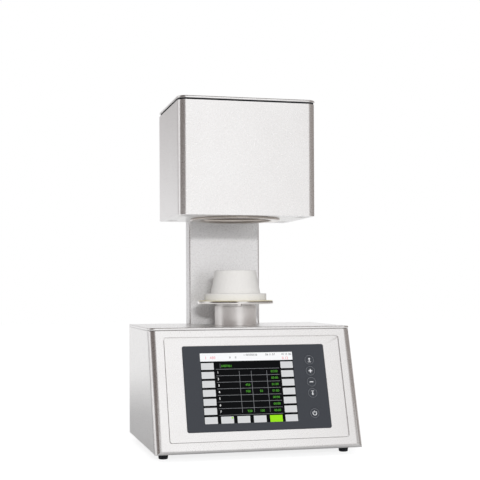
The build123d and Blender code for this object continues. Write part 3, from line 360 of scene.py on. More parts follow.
def circuit_board(name):
    """Epoxy laminate under green lacquer: glossy, with slightly lighter tracks."""
    material, tree, shader, mm = finish(name, "#1c6b3c", roughness=0.3)
    tracks = node(
        tree, "ShaderNodeTexBrick", {"Scale": 1 / 8, "Color1": (0, 0, 0, 1), "Color2": (0.3, 0.3, 0.3, 1),
                                     "Mortar": (1, 1, 1, 1), "Mortar Size": 0.03}, {"Vector": mm}
    )
    tinted(tree, shader, tracks.outputs["Color"], "#175a33", "#2f8a52")
    return material


def glazed_porcelain(name):
    """Glazed porcelain: warm white body under a clear glossy glaze, with tiny specks."""
    material, tree, shader, mm = finish(name, "#eae5db", roughness=0.14, Coat_Weight=0.6, Coat_Roughness=0.05)
    speck = node(tree, "ShaderNodeTexNoise", {"Scale": 1 / 2.0, "Detail": 4.0}, {"Vector": mm})
    tinted(tree, shader, speck.outputs["Fac"], "#e2dccf", "#f2eee6")
    return material


def quartz(name):
    """Fused quartz tube: nearly clear, with a faint milky haze from firing."""
    material, tree, shader, mm = finish(name, "#eef2f4", roughness=0.12, IOR=1.46, Transmission_Weight=0.85)
    haze = node(tree, "ShaderNodeTexNoise", {"Scale": 1 / 12, "Detail": 3.0}, {"Vector": mm})
    roughened(tree, shader, haze.outputs["Fac"], 0.06, 0.3)
    return material


def heating_strip(name):
    """Resistance alloy after firing: dark oxide with brown and grey patches."""
    material, tree, shader, mm = finish(name, "#5c514b", metallic=0.6, roughness=0.62)
    oxide = node(tree, "ShaderNodeTexNoise", {"Scale": 1 / 4, "Detail": 5.0}, {"Vector": mm})
    tinted(tree, shader, oxide.outputs["Fac"], "#463a34", "#7c7068")
    return material


def lit_and_painted_glow(name, colour, strength):
    """Lit pixels behind glass: an even colour that glows a little, with a fine pixel grid; on the printed key symbols
    that glow is painted light.
    """
    material, tree, shader, mm = finish(
        name, colour, roughness=0.25, Specular_IOR_Level=0.05, Emission_Color=linear(colour),
        Emission_Strength=strength
    )
    grid = node(tree, "ShaderNodeTexChecker", {"Scale": 1 / 0.4}, {"Vector": mm})
    roughened(tree, shader, grid.outputs["Fac"], 0.22, 0.3)
    return material


def materials():
    """Every finish of the furnace by a short name, made once."""
    wanted = bpy.context.scene.furnace_finish
    if "Satin paint, housing" not in bpy.data.materials:
        # the last value is the metallic of the upright folds, raised there as painted shade
        satin_sheet("Satin paint, housing", wanted.housing, "#eae8e7", 0.82, 0.95)
        satin_sheet("Satin paint, column", wanted.column, "#e0dfdf", 0.3, 0.9)
        slate_print("Slate print behind glass", wanted.slate)
        fibre_ceramic("Ceramic fibre, fired", wanted.ceramic)
        turned_steel("Stainless steel, polished", "#d2cfcc", 0.1, 0.004 * MM)
        turned_steel("Stainless steel, turned", "#f2efed", 0.37, 0.006 * MM, 0.72)
        # the seal flange's brown-grey stands in for what its polished face reflects: a painted reflection
        turned_steel("Stainless steel, painted reflection tint", "#b5ada6", 0.18, 0.004 * MM)
        drawn_steel("Aluminium, anodised", "#c9c9ca", 0.34)
        drawn_steel("Steel, ground", "#a7a9ac", 0.25)
        zinc_sheet("Zinc-coated sheet")
        moulded("Silicone, moulded", wanted.seal, "#f6eecb", 0.55, 0.8)
        moulded("Rubber, moulded", "#1d2024", "#2a2d32", 0.72, 0.6)
        moulded("Gasket foam, black", "#07080c", "#0e1015", 0.85, 0.5)
        moulded("Carrier sheet, black", "#26272a", "#303135", 0.6, 1.2)
        moulded("Polyamide, black", "#17181b", "#222428", 0.48, 0.7)
        bronze("Bearing bronze, turned")
        circuit_board("Circuit board, lacquered")
        glazed_porcelain("Porcelain, glazed")
        quartz("Quartz, fused")
        heating_strip("Heating strip, oxidised")
        screen = (
            ("dark", "#07080a", 0.0), ("pale", "#dfe0e1", 0.25), ("soft key", "#c4c5c6", 0.2),
            ("green key", "#86c61c", 0.35), ("rule", "#85878a", 0.1), ("green figure", "#4f9c34", 0.3),
            ("white figure", "#e6e6e6", 0.4), ("red figure", "#d2606c", 0.3), ("dark figure", "#55575b", 0.0),
        )
        for name, colour, strength in screen:
            lit_and_painted_glow("Display, " + name, colour, strength)
        # the key symbols are print, and their faint glow is painted light
        lit_and_painted_glow("Symbol print, grey, painted glow", "#dfe0e2", 0.1)
        lit_and_painted_glow("Symbol ring, grey", "#85888d", 0.0)
    return bpy.data.materials


NODE_FINISH = {
    "Satin paint, housing": (
        "front_frame", "front_plate", "left_side_panel", "right_side_panel", "base_top_plate", "head_housing",
        "head_lid", "head_floor",
    ),
    "Satin paint, column": ("column_channel", "column_rear_cover"),
    "Zinc-coated sheet": ("floor_pan", "rear_panel_left", "rear_panel_right", "power_supply", "chamber_pot"),
    "Carrier sheet, black": ("panel_carrier",),
    "Slate print behind glass": (
        "control_glass", "key_table_up", "key_plus", "key_minus", "key_table_down", "key_power",
    ),
    "Display, dark": ("display_module",),
    "Circuit board, lacquered": ("control_board", "key_board"),
    "Rubber, moulded": ("feet", "drive_belt"),
    "Gasket foam, black": ("lid_gasket",),
    "Silicone, moulded": ("table_seal",),
    "Stainless steel, polished": ("lift_table", "seal_flange"),
    "Stainless steel, turned": ("lift_sleeve", "lift_tube"),
    "Aluminium, anodised": (
        "lift_carriage", "lift_base_plate", "lift_bridge", "motor_bracket", "motor_pulley",
    ),
    "Steel, ground": (
        "guide_rods", "lift_spindle", "foot_screws", "machine_screws", "fan_guard", "board_spacers",
    ),
    "Bearing bronze, turned": ("carriage_bushes", "spindle_nut", "guide_bush", "vacuum_valve"),
    "Ceramic fibre, fired": ("firing_plug", "muffle_insulation"),
    "Porcelain, glazed": ("heater_terminals", "thermocouple"),
    "Quartz, fused": ("quartz_liner",),
    "Heating strip, oxidised": ("heating_coil",),
    "Polyamide, black": (
        "fan_frame", "fan_rotor", "power_inlet", "pump_socket", "main_switch_rocker", "lift_motor",
    ),
}
FINISH_OF = {name: shade for shade, names in NODE_FINISH.items() for name in names}


# ---- surfaces

def ring_faces(rings, around, first=0):
    """Quads between neighbouring rings of a grid, as an index array, each ring closed on itself."""
    row = np.arange(rings - 1)[:, None] * around + first
    here = np.arange(around)[None, :]
    ahead = (here + 1) % around
    return np.stack([row + here, row + ahead, row + around + ahead, row + around + here], -1).reshape(-1, 4)


def shell(points, ends=(True, True), joined=False):
    """Points and faces of a surface through rings of points; its ends are capped, or joined to each other."""
    rings, around = points.shape[:2]
    faces = ring_faces(rings, around).tolist()
    last = (rings - 1) * around
    if joined:
        here = np.arange(around)
        ahead = (here + 1) % around
        faces += np.stack([last + here, last + ahead, ahead, here], -1).tolist()
    else:
        if ends[0]:
            faces.append(list(range(around))[::-1])
        if ends[1]:
            faces.append(list(range(last, last + around)))
    return points.reshape(-1, 3), faces


def together(pieces):
    """Several sets of points and faces as one."""
    points, faces, first = [], [], 0
    for some_points, some_faces in pieces:
        points.append(some_points)
        faces += [[first + i for i in face] for face in some_faces]
        first += len(some_points)
    return np.concatenate(points), faces


def piece(name, shape, material, body, replaces=(), sharp=35.0):
    """Makes a mesh object of points and faces, facing outwards, smooth except at edges sharper than an angle."""
    points, faces = shape
    mesh = bpy.data.meshes.new(name)
    mesh.from_pydata(np.asarray(points).tolist(), [], faces)
    bm = bmesh.new()
    bm.from_mesh(mesh)
    bmesh.ops.remove_doubles(bm, verts=bm.verts, dist=1e-7)
    bmesh.ops.recalc_face_normals(bm, faces=bm.faces)
    bm.to_mesh(mesh)
    bm.free()
    mesh.shade_smooth()
    mesh.set_sharp_from_angle(angle=math.radians(sharp))
    mesh.materials.append(materials()[material])
    made = bpy.data.objects.new(name, mesh)
    bpy.context.scene.collection.objects.link(made)
    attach(made, body)
    if replaces:
        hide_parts(*replaces)
    return made


def eased(profile, radius, steps=6):
    """A profile whose inner corners are eased: each becomes a parabola between points a radius either side."""
    profile = np.asarray(profile, float)
    before, corner, after = profile[:-2], profile[1:-1], profile[2:]
    back, ahead = before - corner, after - corner
    reach_back = np.minimum(radius, 0.45 * np.linalg.norm(back, axis=1))
    reach_ahead = np.minimum(radius, 0.45 * np.linalg.norm(ahead, axis=1))
    start = corner + back / np.linalg.norm(back, axis=1)[:, None] * reach_back[:, None]
    end = corner + ahead / np.linalg.norm(ahead, axis=1)[:, None] * reach_ahead[:, None]
    t = np.linspace(0, 1, steps)[None, :, None]
    curve = (1 - t) ** 2 * start[:, None] + 2 * t * (1 - t) * corner[:, None] + t ** 2 * end[:, None]
    return np.concatenate([profile[:1], curve.reshape(-1, 2), profile[-1:]])


def turned(profile, segments):
    """Rings of a surface of revolution: each (radius, height) of the profile goes once round the lift axis."""
    profile = np.asarray(profile, float)
    angle = np.linspace(0, 2 * math.pi, segments, endpoint=False)
    radius, height = profile[:, :1], profile[:, 1:]
    x = LIFT_AXIS.x + radius * np.cos(angle)
    y = LIFT_AXIS.y + radius * np.sin(angle)
    return np.stack([x, y, np.broadcast_to(height, x.shape)], -1)


def outline(left, right, low, high, corner, steps=6):
    """A rounded rectangle: quarter circles round four corner points, joined by straight sides."""
    corner = min(corner, (right - left) / 2, (high - low) / 2)
    angle = np.linspace(0, math.pi / 2, steps)[None, :] + np.arange(4)[:, None] * math.pi / 2
    centre_u = np.array([right - corner, left + corner, left + corner, right - corner])[:, None]
    centre_v = np.array([high - corner, high - corner, low + corner, low + corner])[:, None]
    u = centre_u + corner * np.cos(angle)
    v = centre_v + corner * np.sin(angle)
    return u.ravel(), v.ravel()


def tile(left, right, low, high, corner, base, top, steps=5):
    """A thin rounded plate on the panel between two heights off the glass."""
    u, v = outline(left, right, low, high, corner, steps)
    return shell(np.stack([on_panel(u, v, base), on_panel(u, v, top)]))


def band(u, v, inner, outer, base, top, start=0.0, sweep=2 * math.pi, steps=48):
    """A flat ring or arc on the panel: a small rectangle carried round a circle."""
    angle = np.linspace(start, start + sweep, steps)
    radius = np.array([inner, outer, outer, inner])[:, None]
    height = np.array([base, base, top, top])[:, None]
    points = on_panel(u + radius * np.cos(angle), v + radius * np.sin(angle), height + 0 * angle)
    closed = abs(sweep - 2 * math.pi) < 1e-6
    if closed:
        return shell(points[:, :-1], joined=True)
    loops = points.transpose(1, 0, 2)
    return shell(loops)


def rounder(points, ahead, corner, extra):
    """Points of a folded sheet whose two front folds grow, each away from a centre that moves further in.

    A point at (across, ahead) from a fold's old centre keeps its direction from it and gains `extra` in reach.
    """
    forward = points @ ahead
    across, reach_out = np.abs(points[:, 0]) - corner[0], forward - corner[1]
    fold = (across > -1e-6) & (reach_out > -1e-6)
    reach = np.maximum(np.hypot(across, reach_out), 1e-9)
    grown = (reach + extra) / reach
    x = np.sign(points[:, 0]) * (corner[0] - extra + across * grown)
    shift = corner[1] - extra + reach_out * grown - forward
    moved = points + np.multiply.outer(np.where(fold, shift, 0.0), ahead)
    moved[:, 0] = np.where(fold, x, points[:, 0])
    return moved


def rimmed(low, high, corner, profile, steps=10):
    """Rings of a plate: each (inset, height) of the profile goes round a rounded rectangle."""
    angle = (np.linspace(0, math.pi / 2, steps)[None, :] + np.arange(4)[:, None] * math.pi / 2).ravel()
    core_x = np.repeat([high[0] - corner, low[0] + corner, low[0] + corner, high[0] - corner], steps)
    core_y = np.repeat([high[1] - corner, high[1] - corner, low[1] + corner, low[1] + corner], steps)
    inset, height = np.asarray(profile, float).T[:, :, None]
    x = core_x + (corner - inset) * np.cos(angle)
    y = core_y + (corner - inset) * np.sin(angle)
    return np.stack([x, y, np.broadcast_to(height, x.shape)], -1)


def refined(node_name, edge=None, growing=None):
    """A copy of a node's solid with its triangles merged into faces, smooth bends and slightly rounded cut edges.

    `growing` holds the forward direction, a fold's centre and its growth, as rounder takes them.
    """
    source, material = frame["nodes"][node_name], FINISH_OF[node_name]
    bm = bmesh.new()
    bm.from_mesh(source.data)
    if growing:
        moved = rounder(np.array([v.co for v in bm.verts]), *growing)
        for vertex, place in zip(bm.verts, moved):
            vertex.co = place
    bmesh.ops.remove_doubles(bm, verts=bm.verts, dist=2e-6)
    bmesh.ops.dissolve_limit(bm, angle_limit=math.radians(0.4), verts=bm.verts, edges=bm.edges)
    mesh = bpy.data.meshes.new(node_name + "_finished")
    bm.to_mesh(mesh)
    bm.free()
    mesh.shade_smooth()
    mesh.set_sharp_from_angle(angle=math.radians(35))
    mesh.materials.append(materials()[material])
    made = bpy.data.objects.new(node_name + "_finished", mesh)
    bpy.context.scene.collection.objects.link(made)
    if edge:
        bevel = made.modifiers.new("Edge", "BEVEL")
        bevel.width = edge
        bevel.segments = 2
        bevel.limit_method = "ANGLE"
        bevel.angle_limit = math.radians(50)
    made.modifiers.new("Flat faces", "WEIGHTED_NORMAL").keep_sharp = True
    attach(made, source["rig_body"])
    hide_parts(node_name)
    return made


# ---- operators, one for each group of pieces

class FURNACE_OT_finishes(bpy.types.Operator):
    """Give every solid of the frame its material."""

    bl_idname = "furnace.finishes"
    bl_label = "Finish the solids"

    def execute(self, context):
        bare = set(frame["nodes"]) - set(FINISH_OF)
        if bare:
            raise RuntimeError(f"no finish for {sorted(bare)}")
        shades = materials()
        for name, shade in FINISH_OF.items():
            slots = frame["nodes"][name].data.materials
            slots.clear()
            slots.append(shades[shade])
        return {"FINISHED"}


class FURNACE_OT_housing(bpy.types.Operator):
    """Build the folded sheets of base, column and head with smooth bends and eased edges."""

    bl_idname = "furnace.housing"
    bl_label = "Sheet housing"

    def execute(self, context):
        edge = context.scene.furnace_finish.edge
        for name in ("left_side_panel", "right_side_panel"):
            refined(name, edge)
        refined("front_plate", 2 * edge)
        # the folds of the solids, and how much rounder they are made here
        base_fold, base_growth = 7.0 * MM, 4.0 * MM
        head_fold, head_growth = 6.0 * MM, 6.0 * MM
        forward = np.array((0.0, -1.0, 0.0))
        front = (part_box("front_frame")[1].x - base_fold, along("front_frame", OUT)[1] - base_fold)
        refined("front_frame", 2 * edge, (OUT, front, base_growth))
        low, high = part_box("base_top_plate")
        refined("base_top_plate", None, (forward, (high.x - base_fold, -low.y - base_fold), base_growth))
        low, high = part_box("head_housing")
        growing = (forward, (high.x - head_fold, -low.y - head_fold), head_growth)
        refined("head_housing", edge, growing)
        refined("head_floor", None, growing)
        corner = head_fold + head_growth
        step = MM  # the lid stands out of the housing and the gasket lies within it by this much
        low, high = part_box("head_lid")
        roll, lip, lap = 2.2 * MM, 0.35 * MM, 1.6 * MM
        under = low.z + 0.4 * MM
        turn = np.linspace(0, math.pi / 2, 9)
        profile = [(lap, under), (lip, under), (0.0, under + lip)]
        profile += list(zip(roll * (1 - np.cos(turn)), high.z - roll * (1 - np.sin(turn))))
        profile += [(roll + 2 * MM, high.z)]
        piece("head_lid_rolled", shell(rimmed(low, high, corner + step, profile)), "Satin paint, housing",
              "furnace", ["head_lid"])
        low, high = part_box("lid_gasket")
        wide = 5.0 * MM
        profile = [(0, low.z), (0, under), (wide, under), (wide, low.z)]
        piece("lid_gasket_strip", shell(rimmed(low, high, corner - step, profile), joined=True),
              "Gasket foam, black", "furnace", ["lid_gasket"])
        for name in ("column_channel", "column_rear_cover"):
            refined(name, edge)
        refined("feet")
        return {"FINISHED"}


class FURNACE_OT_fittings(bpy.types.Operator):
    """Smooth the moulded, turned and pressed fittings at the front and the back."""

    bl_idname = "furnace.fittings"
    bl_label = "Fittings"

    def execute(self, context):
        fittings = (
            "control_glass", "key_table_up", "key_plus", "key_minus", "key_table_down", "key_power",
            "rear_panel_left", "rear_panel_right", "fan_frame", "fan_rotor", "power_inlet", "pump_socket",
            "main_switch_rocker", "fan_guard", "foot_screws", "vacuum_valve",
        )
        for name in fittings:
            refined(name)
        return {"FINISHED"}


class FURNACE_OT_lift(bpy.types.Operator):
    """Turn the sleeve, the tube, the table, its seal and the sealing flange under the head."""

    bl_idname = "furnace.lift"
    bl_label = "Lift parts"

    def execute(self, context):
        turns = context.scene.furnace_plug.turns
        low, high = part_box("lift_table")
        radius = (high.x - low.x) / 2
        seal_low, seal_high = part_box("table_seal")
        seal_radius = (seal_high.x - seal_low.x) / 2
        tube_low, tube_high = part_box("lift_tube")
        spigot = (tube_high.x - tube_low.x) / 2 - 2.1 * MM
        disc = eased(
            [(spigot, low.z), (spigot, tube_high.z), (radius, tube_high.z), (radius, high.z), (seal_radius, high.z)],
            0.7 * MM
        )
        piece("lift_table_disc", shell(turned(disc, turns)), "Stainless steel, polished", "lift", ["lift_table"])
        rim = seal_radius - 9.0 * MM
        seal = [
            (rim, seal_low.z), (rim, seal_high.z), (rim + 0.8 * MM, seal_high.z),
            (seal_radius - 0.5 * MM, seal_high.z), (seal_radius, seal_high.z - 0.4 * MM), (seal_radius, seal_low.z),
        ]
        piece(
            "table_seal_ring", shell(turned(seal, turns), joined=True), "Silicone, moulded", "lift", ["table_seal"]
        )
        low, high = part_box("lift_sleeve")
        radius = (high.x - low.x) / 2
        wall = 1.4 * MM
        sleeve = eased(
            [(radius - wall, low.z), (radius, low.z), (radius, high.z), (radius - wall, high.z),
             (radius - wall, low.z + MM)], 0.45 * MM
        )
        piece(
            "lift_sleeve_turned", shell(turned(sleeve, turns), joined=True), "Stainless steel, turned", "furnace",
            ["lift_sleeve"]
        )
        low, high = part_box("seal_flange")
        radius = (high.x - low.x) / 2
        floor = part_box("head_floor")[0].z
        bore, collar, mouth_easing, edge_easing = 55.0 * MM, 57.5 * MM, 7.0 * MM, 1.2 * MM
        mouth = eased([(bore, high.z), (bore, low.z), (radius - 3 * MM, low.z)], mouth_easing, 10)
        edge = eased([mouth[-1], (radius, low.z), (radius, floor), (collar, floor)], edge_easing)
        flange = np.concatenate([mouth, edge[1:], [(collar, high.z)]])
        piece(
            "seal_flange_turned", shell(turned(flange, turns), joined=True), "Stainless steel, painted reflection tint",
            "furnace", ["seal_flange"]
        )
        refined("lift_tube")
        return {"FINISHED"}


class FURNACE_OT_plug(bpy.types.Operator):
    """Form the firing plug of ceramic fibre with soft fired edges and a shallow tray recess."""

    bl_idname = "furnace.plug"
    bl_label = "Firing plug"

    def execute(self, context):
        wanted = context.scene.furnace_plug
        low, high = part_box("firing_plug")
        flange = (high.x - low.x) / 2
        shoulder = low.z + 11.7 * MM
        cone_low, cone_high = 39.0 * MM, 32.0 * MM
        recess, depth = 24.0 * MM, 1.5 * MM
        profile = eased(
            [(flange - 2 * MM, low.z), (flange, low.z), (flange, shoulder), (cone_low, shoulder),
             (cone_high, high.z), (recess, high.z), (recess - 0.4 * MM, high.z - depth),
             (recess - 3 * MM, high.z - depth)], wanted.rim
        )
        piece("firing_plug_fired", shell(turned(profile, wanted.turns)), "Ceramic fibre, fired", "lift",
              ["firing_plug"])
        return {"FINISHED"}


class FURNACE_OT_display(bpy.types.Operator):
    """Lay out the display: header, table, soft keys on three sides and the figures."""

    bl_idname = "furnace.display"
    bl_label = "Display"

    def execute(self, context):
        area = context.scene.furnace_display
        face, raised_face, figure_face = 0.02 * MM, 0.05 * MM, 0.07 * MM
        sunk = -0.1 * MM
        piece("display_ground", tile(area.left, area.right, area.low, area.high, 0.6 * MM, sunk, face),
              "Display, dark", "furnace")
        bar_low = area.high - area.header
        piece("display_header", tile(area.left, area.right, bar_low, area.high, 0.5 * MM, sunk, raised_face),
              "Display, pale", "furnace")

        width, height, gap = area.key_width, area.key_height, 0.6 * MM
        pitch = (bar_low - 2.4 * MM - height - area.low) / (area.key_rows - 1)
        rows = area.low + np.arange(area.key_rows) * pitch
        keys = []
        for left in (area.left + gap, area.right - gap - width):
            keys += [tile(left, left + width, v, v + height, 0.5 * MM, sunk, raised_face) for v in rows]
        first, step = -56.6 * MM, 24.15 * MM
        lefts = first + np.arange(4) * step
        keys += [tile(u, u + width, area.low, area.low + height, 0.5 * MM, sunk, raised_face) for u in lefts[:3]]
        piece("display_soft_keys", together(keys), "Display, soft key", "furnace")
        piece("display_green_key",
              tile(lefts[3], lefts[3] + width, area.low, area.low + height, 0.5 * MM, sunk, raised_face),
              "Display, green key", "furnace")
        dot = (lefts[0] + width - 2 * MM, area.low + height - 2 * MM)
        piece("display_green_dot", band(*dot, 0.05 * MM, 1.3 * MM, face, figure_face), "Display, green key",
              "furnace")

        rule = 0.24 * MM
        table_left, table_right = -58.7 * MM, 36.1 * MM
        table_high, table_low = 28.0 * MM, -39.7 * MM
        lines = np.linspace(table_high, table_low, 8)
        rules = [tile(table_left, table_right, v - rule, v + rule, rule / 2, face, figure_face) for v in lines]
        columns = (-24.3 * MM, -6.4 * MM, 17.0 * MM)
        rules += [
            tile(u - rule, u + rule, table_low + 2.9 * MM, table_high - 3.3 * MM, rule / 2, face, figure_face)
            for u in columns
        ]
        rules.append(tile(-52.3 * MM, -51.9 * MM, 29.5 * MM, 36.5 * MM, rule / 2, face, figure_face))
        piece("display_rules", together(rules), "Display, rule", "furnace")

        middles = (lines[:-1] + lines[1:]) / 2
        size = 4.7 * MM
        times = ("02:00", "03:00", "01:00", "01:00", "00:00", "00:00", "00:00")
        green = [("0407001", -50.5 * MM, 32.6 * MM, "LEFT")]
        green += [(text, 33.5 * MM, v, "RIGHT") for text, v in zip(times, middles)]
        green += [("450", -9.5 * MM, middles[2], "RIGHT"), ("920", -9.5 * MM, middles[3], "RIGHT"),
                  ("920", -9.5 * MM, middles[6], "RIGHT"), ("55", 9.0 * MM, middles[3], "RIGHT"),
                  ("100", 9.0 * MM, middles[6], "RIGHT")]
        white = [(str(n + 1), -57.2 * MM, v, "LEFT") for n, v in enumerate(middles)]
        line = bar_low + area.header / 2
        red = [("1", -74.0 * MM, line - MM, "LEFT"), ("450", -66.5 * MM, line - MM, "LEFT"),
               ("0.12", 42.0 * MM, line - 3.4 * MM, "LEFT")]
        dark = [("0", -37.5 * MM, line - MM, "LEFT"), ("06.11.07", 17.0 * MM, line + 2.6 * MM, "LEFT"),
                ("10 15 28", 41.0 * MM, line + 2.6 * MM, "LEFT"), ("1 00000036", -16.0 * MM, line + 2.6 * MM, "LEFT"),
                ("0", -29.0 * MM, line - MM, "LEFT")]
        on_header = raised_face - 0.01 * MM
        rows_of_figures = (
            ("green", green, size, face), ("white", white, size, face), ("red", red, 5.6 * MM, on_header),
            ("dark", dark, 4.4 * MM, on_header),
        )
        for colour, entries, tall, base in rows_of_figures:
            piece(f"display_{colour}_figures", together([figures(*f, tall, base, figure_face) for f in entries]),
                  f"Display, {colour} figure", "furnace", sharp=20)
        return {"FINISHED"}


def figures(text, u, v, align, size, base, top):
    """Numbers on the panel: the font's flat outline, thickened, turned into points and faces."""
    curve = bpy.data.curves.new("figures", "FONT")
    curve.body = text
    curve.size = size
    curve.align_x = align
    curve.align_y = "CENTER"
    curve.resolution_u = 3
    curve.extrude = (top - base) / 2
    holder = bpy.data.objects.new("figures", curve)
    bpy.context.scene.collection.objects.link(holder)
    bpy.context.view_layer.update()
    mesh = bpy.data.meshes.new_from_object(holder)
    flat = np.array([p.co for p in mesh.vertices])
    faces = [list(face.vertices) for face in mesh.polygons]
    bpy.data.objects.remove(holder)
    bpy.data.curves.remove(curve)
    bpy.data.meshes.remove(mesh)
    return on_panel(flat[:, 0] + u, flat[:, 1] + v, flat[:, 2] + (base + top) / 2), faces


def bar(u, v, width, height, base, top):
    """A small plate on the panel about its own middle."""
    return tile(u - width / 2, u + width / 2, v - height / 2, v + height / 2, 0.2 * MM, base, top)


def arrow(u, v, direction, base, top):
    """An arrow up or down the slope: a shaft and a triangular head."""
    tip = np.array([0.0, -1.9, 1.9]) * MM
    rise = np.array([2.9, 0.5, 0.5]) * MM * direction
    head = shell(np.stack([on_panel(u + tip, v + rise, base), on_panel(u + tip, v + rise, top)]))
    return together([head, bar(u, v - direction * 0.9 * MM, 1.1 * MM, 3.4 * MM, base, top)])


class FURNACE_OT_symbols(bpy.types.Operator):
    """Print the rings and plain symbols on the five keys."""

    bl_idname = "furnace.symbols"
    bl_label = "Key symbols"

    def execute(self, context):
        base, top = -0.05 * MM, 0.03 * MM
        for key in ("key_table_up", "key_plus", "key_minus", "key_table_down", "key_power"):
            u = middle(key).x
            v = float(np.array(middle(key)) @ UP_SLOPE) - GLASS_V
            ring = band(u, v, 6.45 * MM, 6.85 * MM, base, top, steps=73)
            piece(key + "_ring", ring, "Symbol ring, grey", key + "_body")
            if key.startswith("key_table"):
                way = 1 if key == "key_table_up" else -1
                mark = [arrow(u, v + way * 0.6 * MM, way, base, top),
                        bar(u, v - way * 3.0 * MM, 4.6 * MM, 0.7 * MM, base, top)]
            elif key == "key_power":
                mark = [band(u, v, 2.4 * MM, 3.3 * MM, base, top, math.radians(125), math.radians(290)),
                        bar(u, v + 2.2 * MM, 0.9 * MM, 3.0 * MM, base, top)]
            else:
                mark = [bar(u, v, 5.6 * MM, 1.3 * MM, base, top)]
                if key == "key_plus":
                    mark += [bar(u, v + way * 1.75 * MM, 1.3 * MM, 2.2 * MM, base, top) for way in (1, -1)]
            piece(key + "_symbol", together(mark), "Symbol print, grey, painted glow", key + "_body")
        return {"FINISHED"}


class FURNACE_OT_stage(bpy.types.Operator):
    """Set the floor, the light and the camera."""

    bl_idname = "furnace.stage"
    bl_label = "Studio"

    def execute(self, context):
        wanted = context.scene.furnace_studio
        self.floor()
        self.world()
        self.lamp("Key light", (-0.34, -2.95, 0.85), (0.55, 0.12), wanted.key_power)
        self.camera(wanted)
        context.scene.view_settings.view_transform = "Standard"
        return {"FINISHED"}

    def floor(self):
        """A white sweep under the furnace that shows white and still takes its shadow."""
        reach, sunk, count = 6.0, 0.2 * MM, 5
        steps = np.linspace(-reach, reach, count)
        x, y = np.meshgrid(steps, steps)
        points = np.stack([x, y, 0 * x - sunk], -1).reshape(-1, 3)
        row = np.arange(count - 1)[:, None] * count + np.arange(count - 1)
        faces = np.stack([row, row + 1, row + count + 1, row + count], -1).reshape(-1, 4)
        mesh = bpy.data.meshes.new("floor")
        mesh.from_pydata(points.tolist(), [], faces.tolist())
        material, tree, shader, mm = finish("Studio floor, paper", "#f2f2f2", roughness=0.9)
        path = node(tree, "ShaderNodeLightPath")
        # close to the furnace gloss sees the shaded paper, further out the white background
        far = node(tree, "ShaderNodeVectorMath", links={0: mm}, operation="LENGTH")
        far = node(
            tree, "ShaderNodeMapRange", {"From Min": 500.0, "From Max": 1500.0}, {"Value": far.outputs["Value"]}
        )
        glossy = node(
            tree, "ShaderNodeMath", links={0: path.outputs["Is Glossy Ray"], 1: far.outputs["Result"]},
            operation="MULTIPLY"
        )
        seen = node(
            tree, "ShaderNodeMath", links={0: path.outputs["Is Camera Ray"], 1: glossy.outputs[0]},
            operation="ADD"
        )
        seen = node(
            tree, "ShaderNodeMath", links={0: seen.outputs[0], 1: path.outputs["Is Transmission Ray"]},
            operation="ADD", use_clamp=True
        )
        share = node(tree, "ShaderNodeMath", {1: 0.55}, {0: seen.outputs[0]}, operation="MULTIPLY")
        glow = node(tree, "ShaderNodeEmission", {"Color": (1, 1, 1, 1), "Strength": 1.5})
        mixed = node(
            tree, "ShaderNodeMixShader", links={0: share.outputs[0], 1: shader.outputs[0], 2: glow.outputs[0]}
        )
        tree.links.new(mixed.outputs[0], tree.nodes["Material Output"].inputs["Surface"])
        mesh.materials.append(material)
        made = bpy.data.objects.new("floor", mesh)
        bpy.context.scene.collection.objects.link(made)

    def world(self):
        """White surroundings; gloss picks up a white screen in front and behind, dark walls and a dark ceiling."""
        world = bpy.data.worlds.new("Studio")
        world.use_nodes = True
        bpy.context.scene.world = world
        tree = world.node_tree
        background = tree.nodes["Background"]
        place = node(tree, "ShaderNodeTexCoord")
        parts = node(tree, "ShaderNodeSeparateXYZ", links={"Vector": place.outputs["Generated"]})
        layers = (
            # the direction it lies in, where it starts and is full along that, along Y if it has ends there, shade
            ((-0.5, 0.0, 1.0), 0.08, 0.35, (0.3, 0.8), "#b4b0b0"),
            ((1.0, -0.12, 0.0), 0.38, 0.64, None, "#958e8a"),
            ((1.0, 0.12, 0.0), -0.14, -0.34, (0.25, -0.1), "#675d59"),
            ((0.0, 0.0, 1.0), 0.74, 0.88, None, "#4c4340"),
        )
        white = node(tree, "ShaderNodeRGB")
        white.outputs[0].default_value = (1.16, 1.16, 1.17, 1)
        room = white.outputs[0]
        for slant, start, end, ends, shade in layers:
            reach = node(
                tree, "ShaderNodeVectorMath", {1: slant}, {0: place.outputs["Generated"]}, operation="DOT_PRODUCT"
            )
            share = node(
                tree, "ShaderNodeMapRange", {"From Min": start, "From Max": end}, {"Value": reach.outputs["Value"]},
                interpolation_type="SMOOTHSTEP"
            )
            share = share.outputs["Result"]
            if ends:
                gate = node(
                    tree, "ShaderNodeMapRange", {"From Min": ends[0], "From Max": ends[1]},
                    {"Value": parts.outputs["Y"]}, interpolation_type="SMOOTHSTEP"
                )
                both = node(
                    tree, "ShaderNodeMath", links={0: share, 1: gate.outputs["Result"]}, operation="MULTIPLY"
                )
                share = both.outputs[0]
            mixed = node(
                tree, "ShaderNodeMix", {"B": linear(shade)}, {"Factor": share, "A": room}, data_type="RGBA"
            )
            room = mixed.outputs["Result"]
        path = node(tree, "ShaderNodeLightPath")
        plain = node(
            tree, "ShaderNodeMix", {"A": (0.5, 0.5, 0.505, 1)},
            {"Factor": path.outputs["Is Glossy Ray"], "B": room}, data_type="RGBA"
        )
        seen = node(
            tree, "ShaderNodeMix", {"B": (1, 1, 1, 1)},
            {"Factor": path.outputs["Is Camera Ray"], "A": plain.outputs["Result"]}, data_type="RGBA"
        )
        tree.links.new(seen.outputs["Result"], background.inputs["Color"])

    def lamp(self, name, spot, size, power):
        """A low strip lamp that faces the furnace; gloss doesn't pick it up, so metal shows the room alone."""
        light = bpy.data.lights.new(name, "AREA")
        light.shape = "RECTANGLE"
        light.size, light.size_y = size
        light.energy = power
        made = bpy.data.objects.new(name, light)
        made.visible_glossy = False
        made.location = spot
        aim = Vector((0, 0.02, 0.28)) - Vector(spot)
        made.rotation_euler = aim.to_track_quat("-Z", "Y").to_euler()
        bpy.context.scene.collection.objects.link(made)

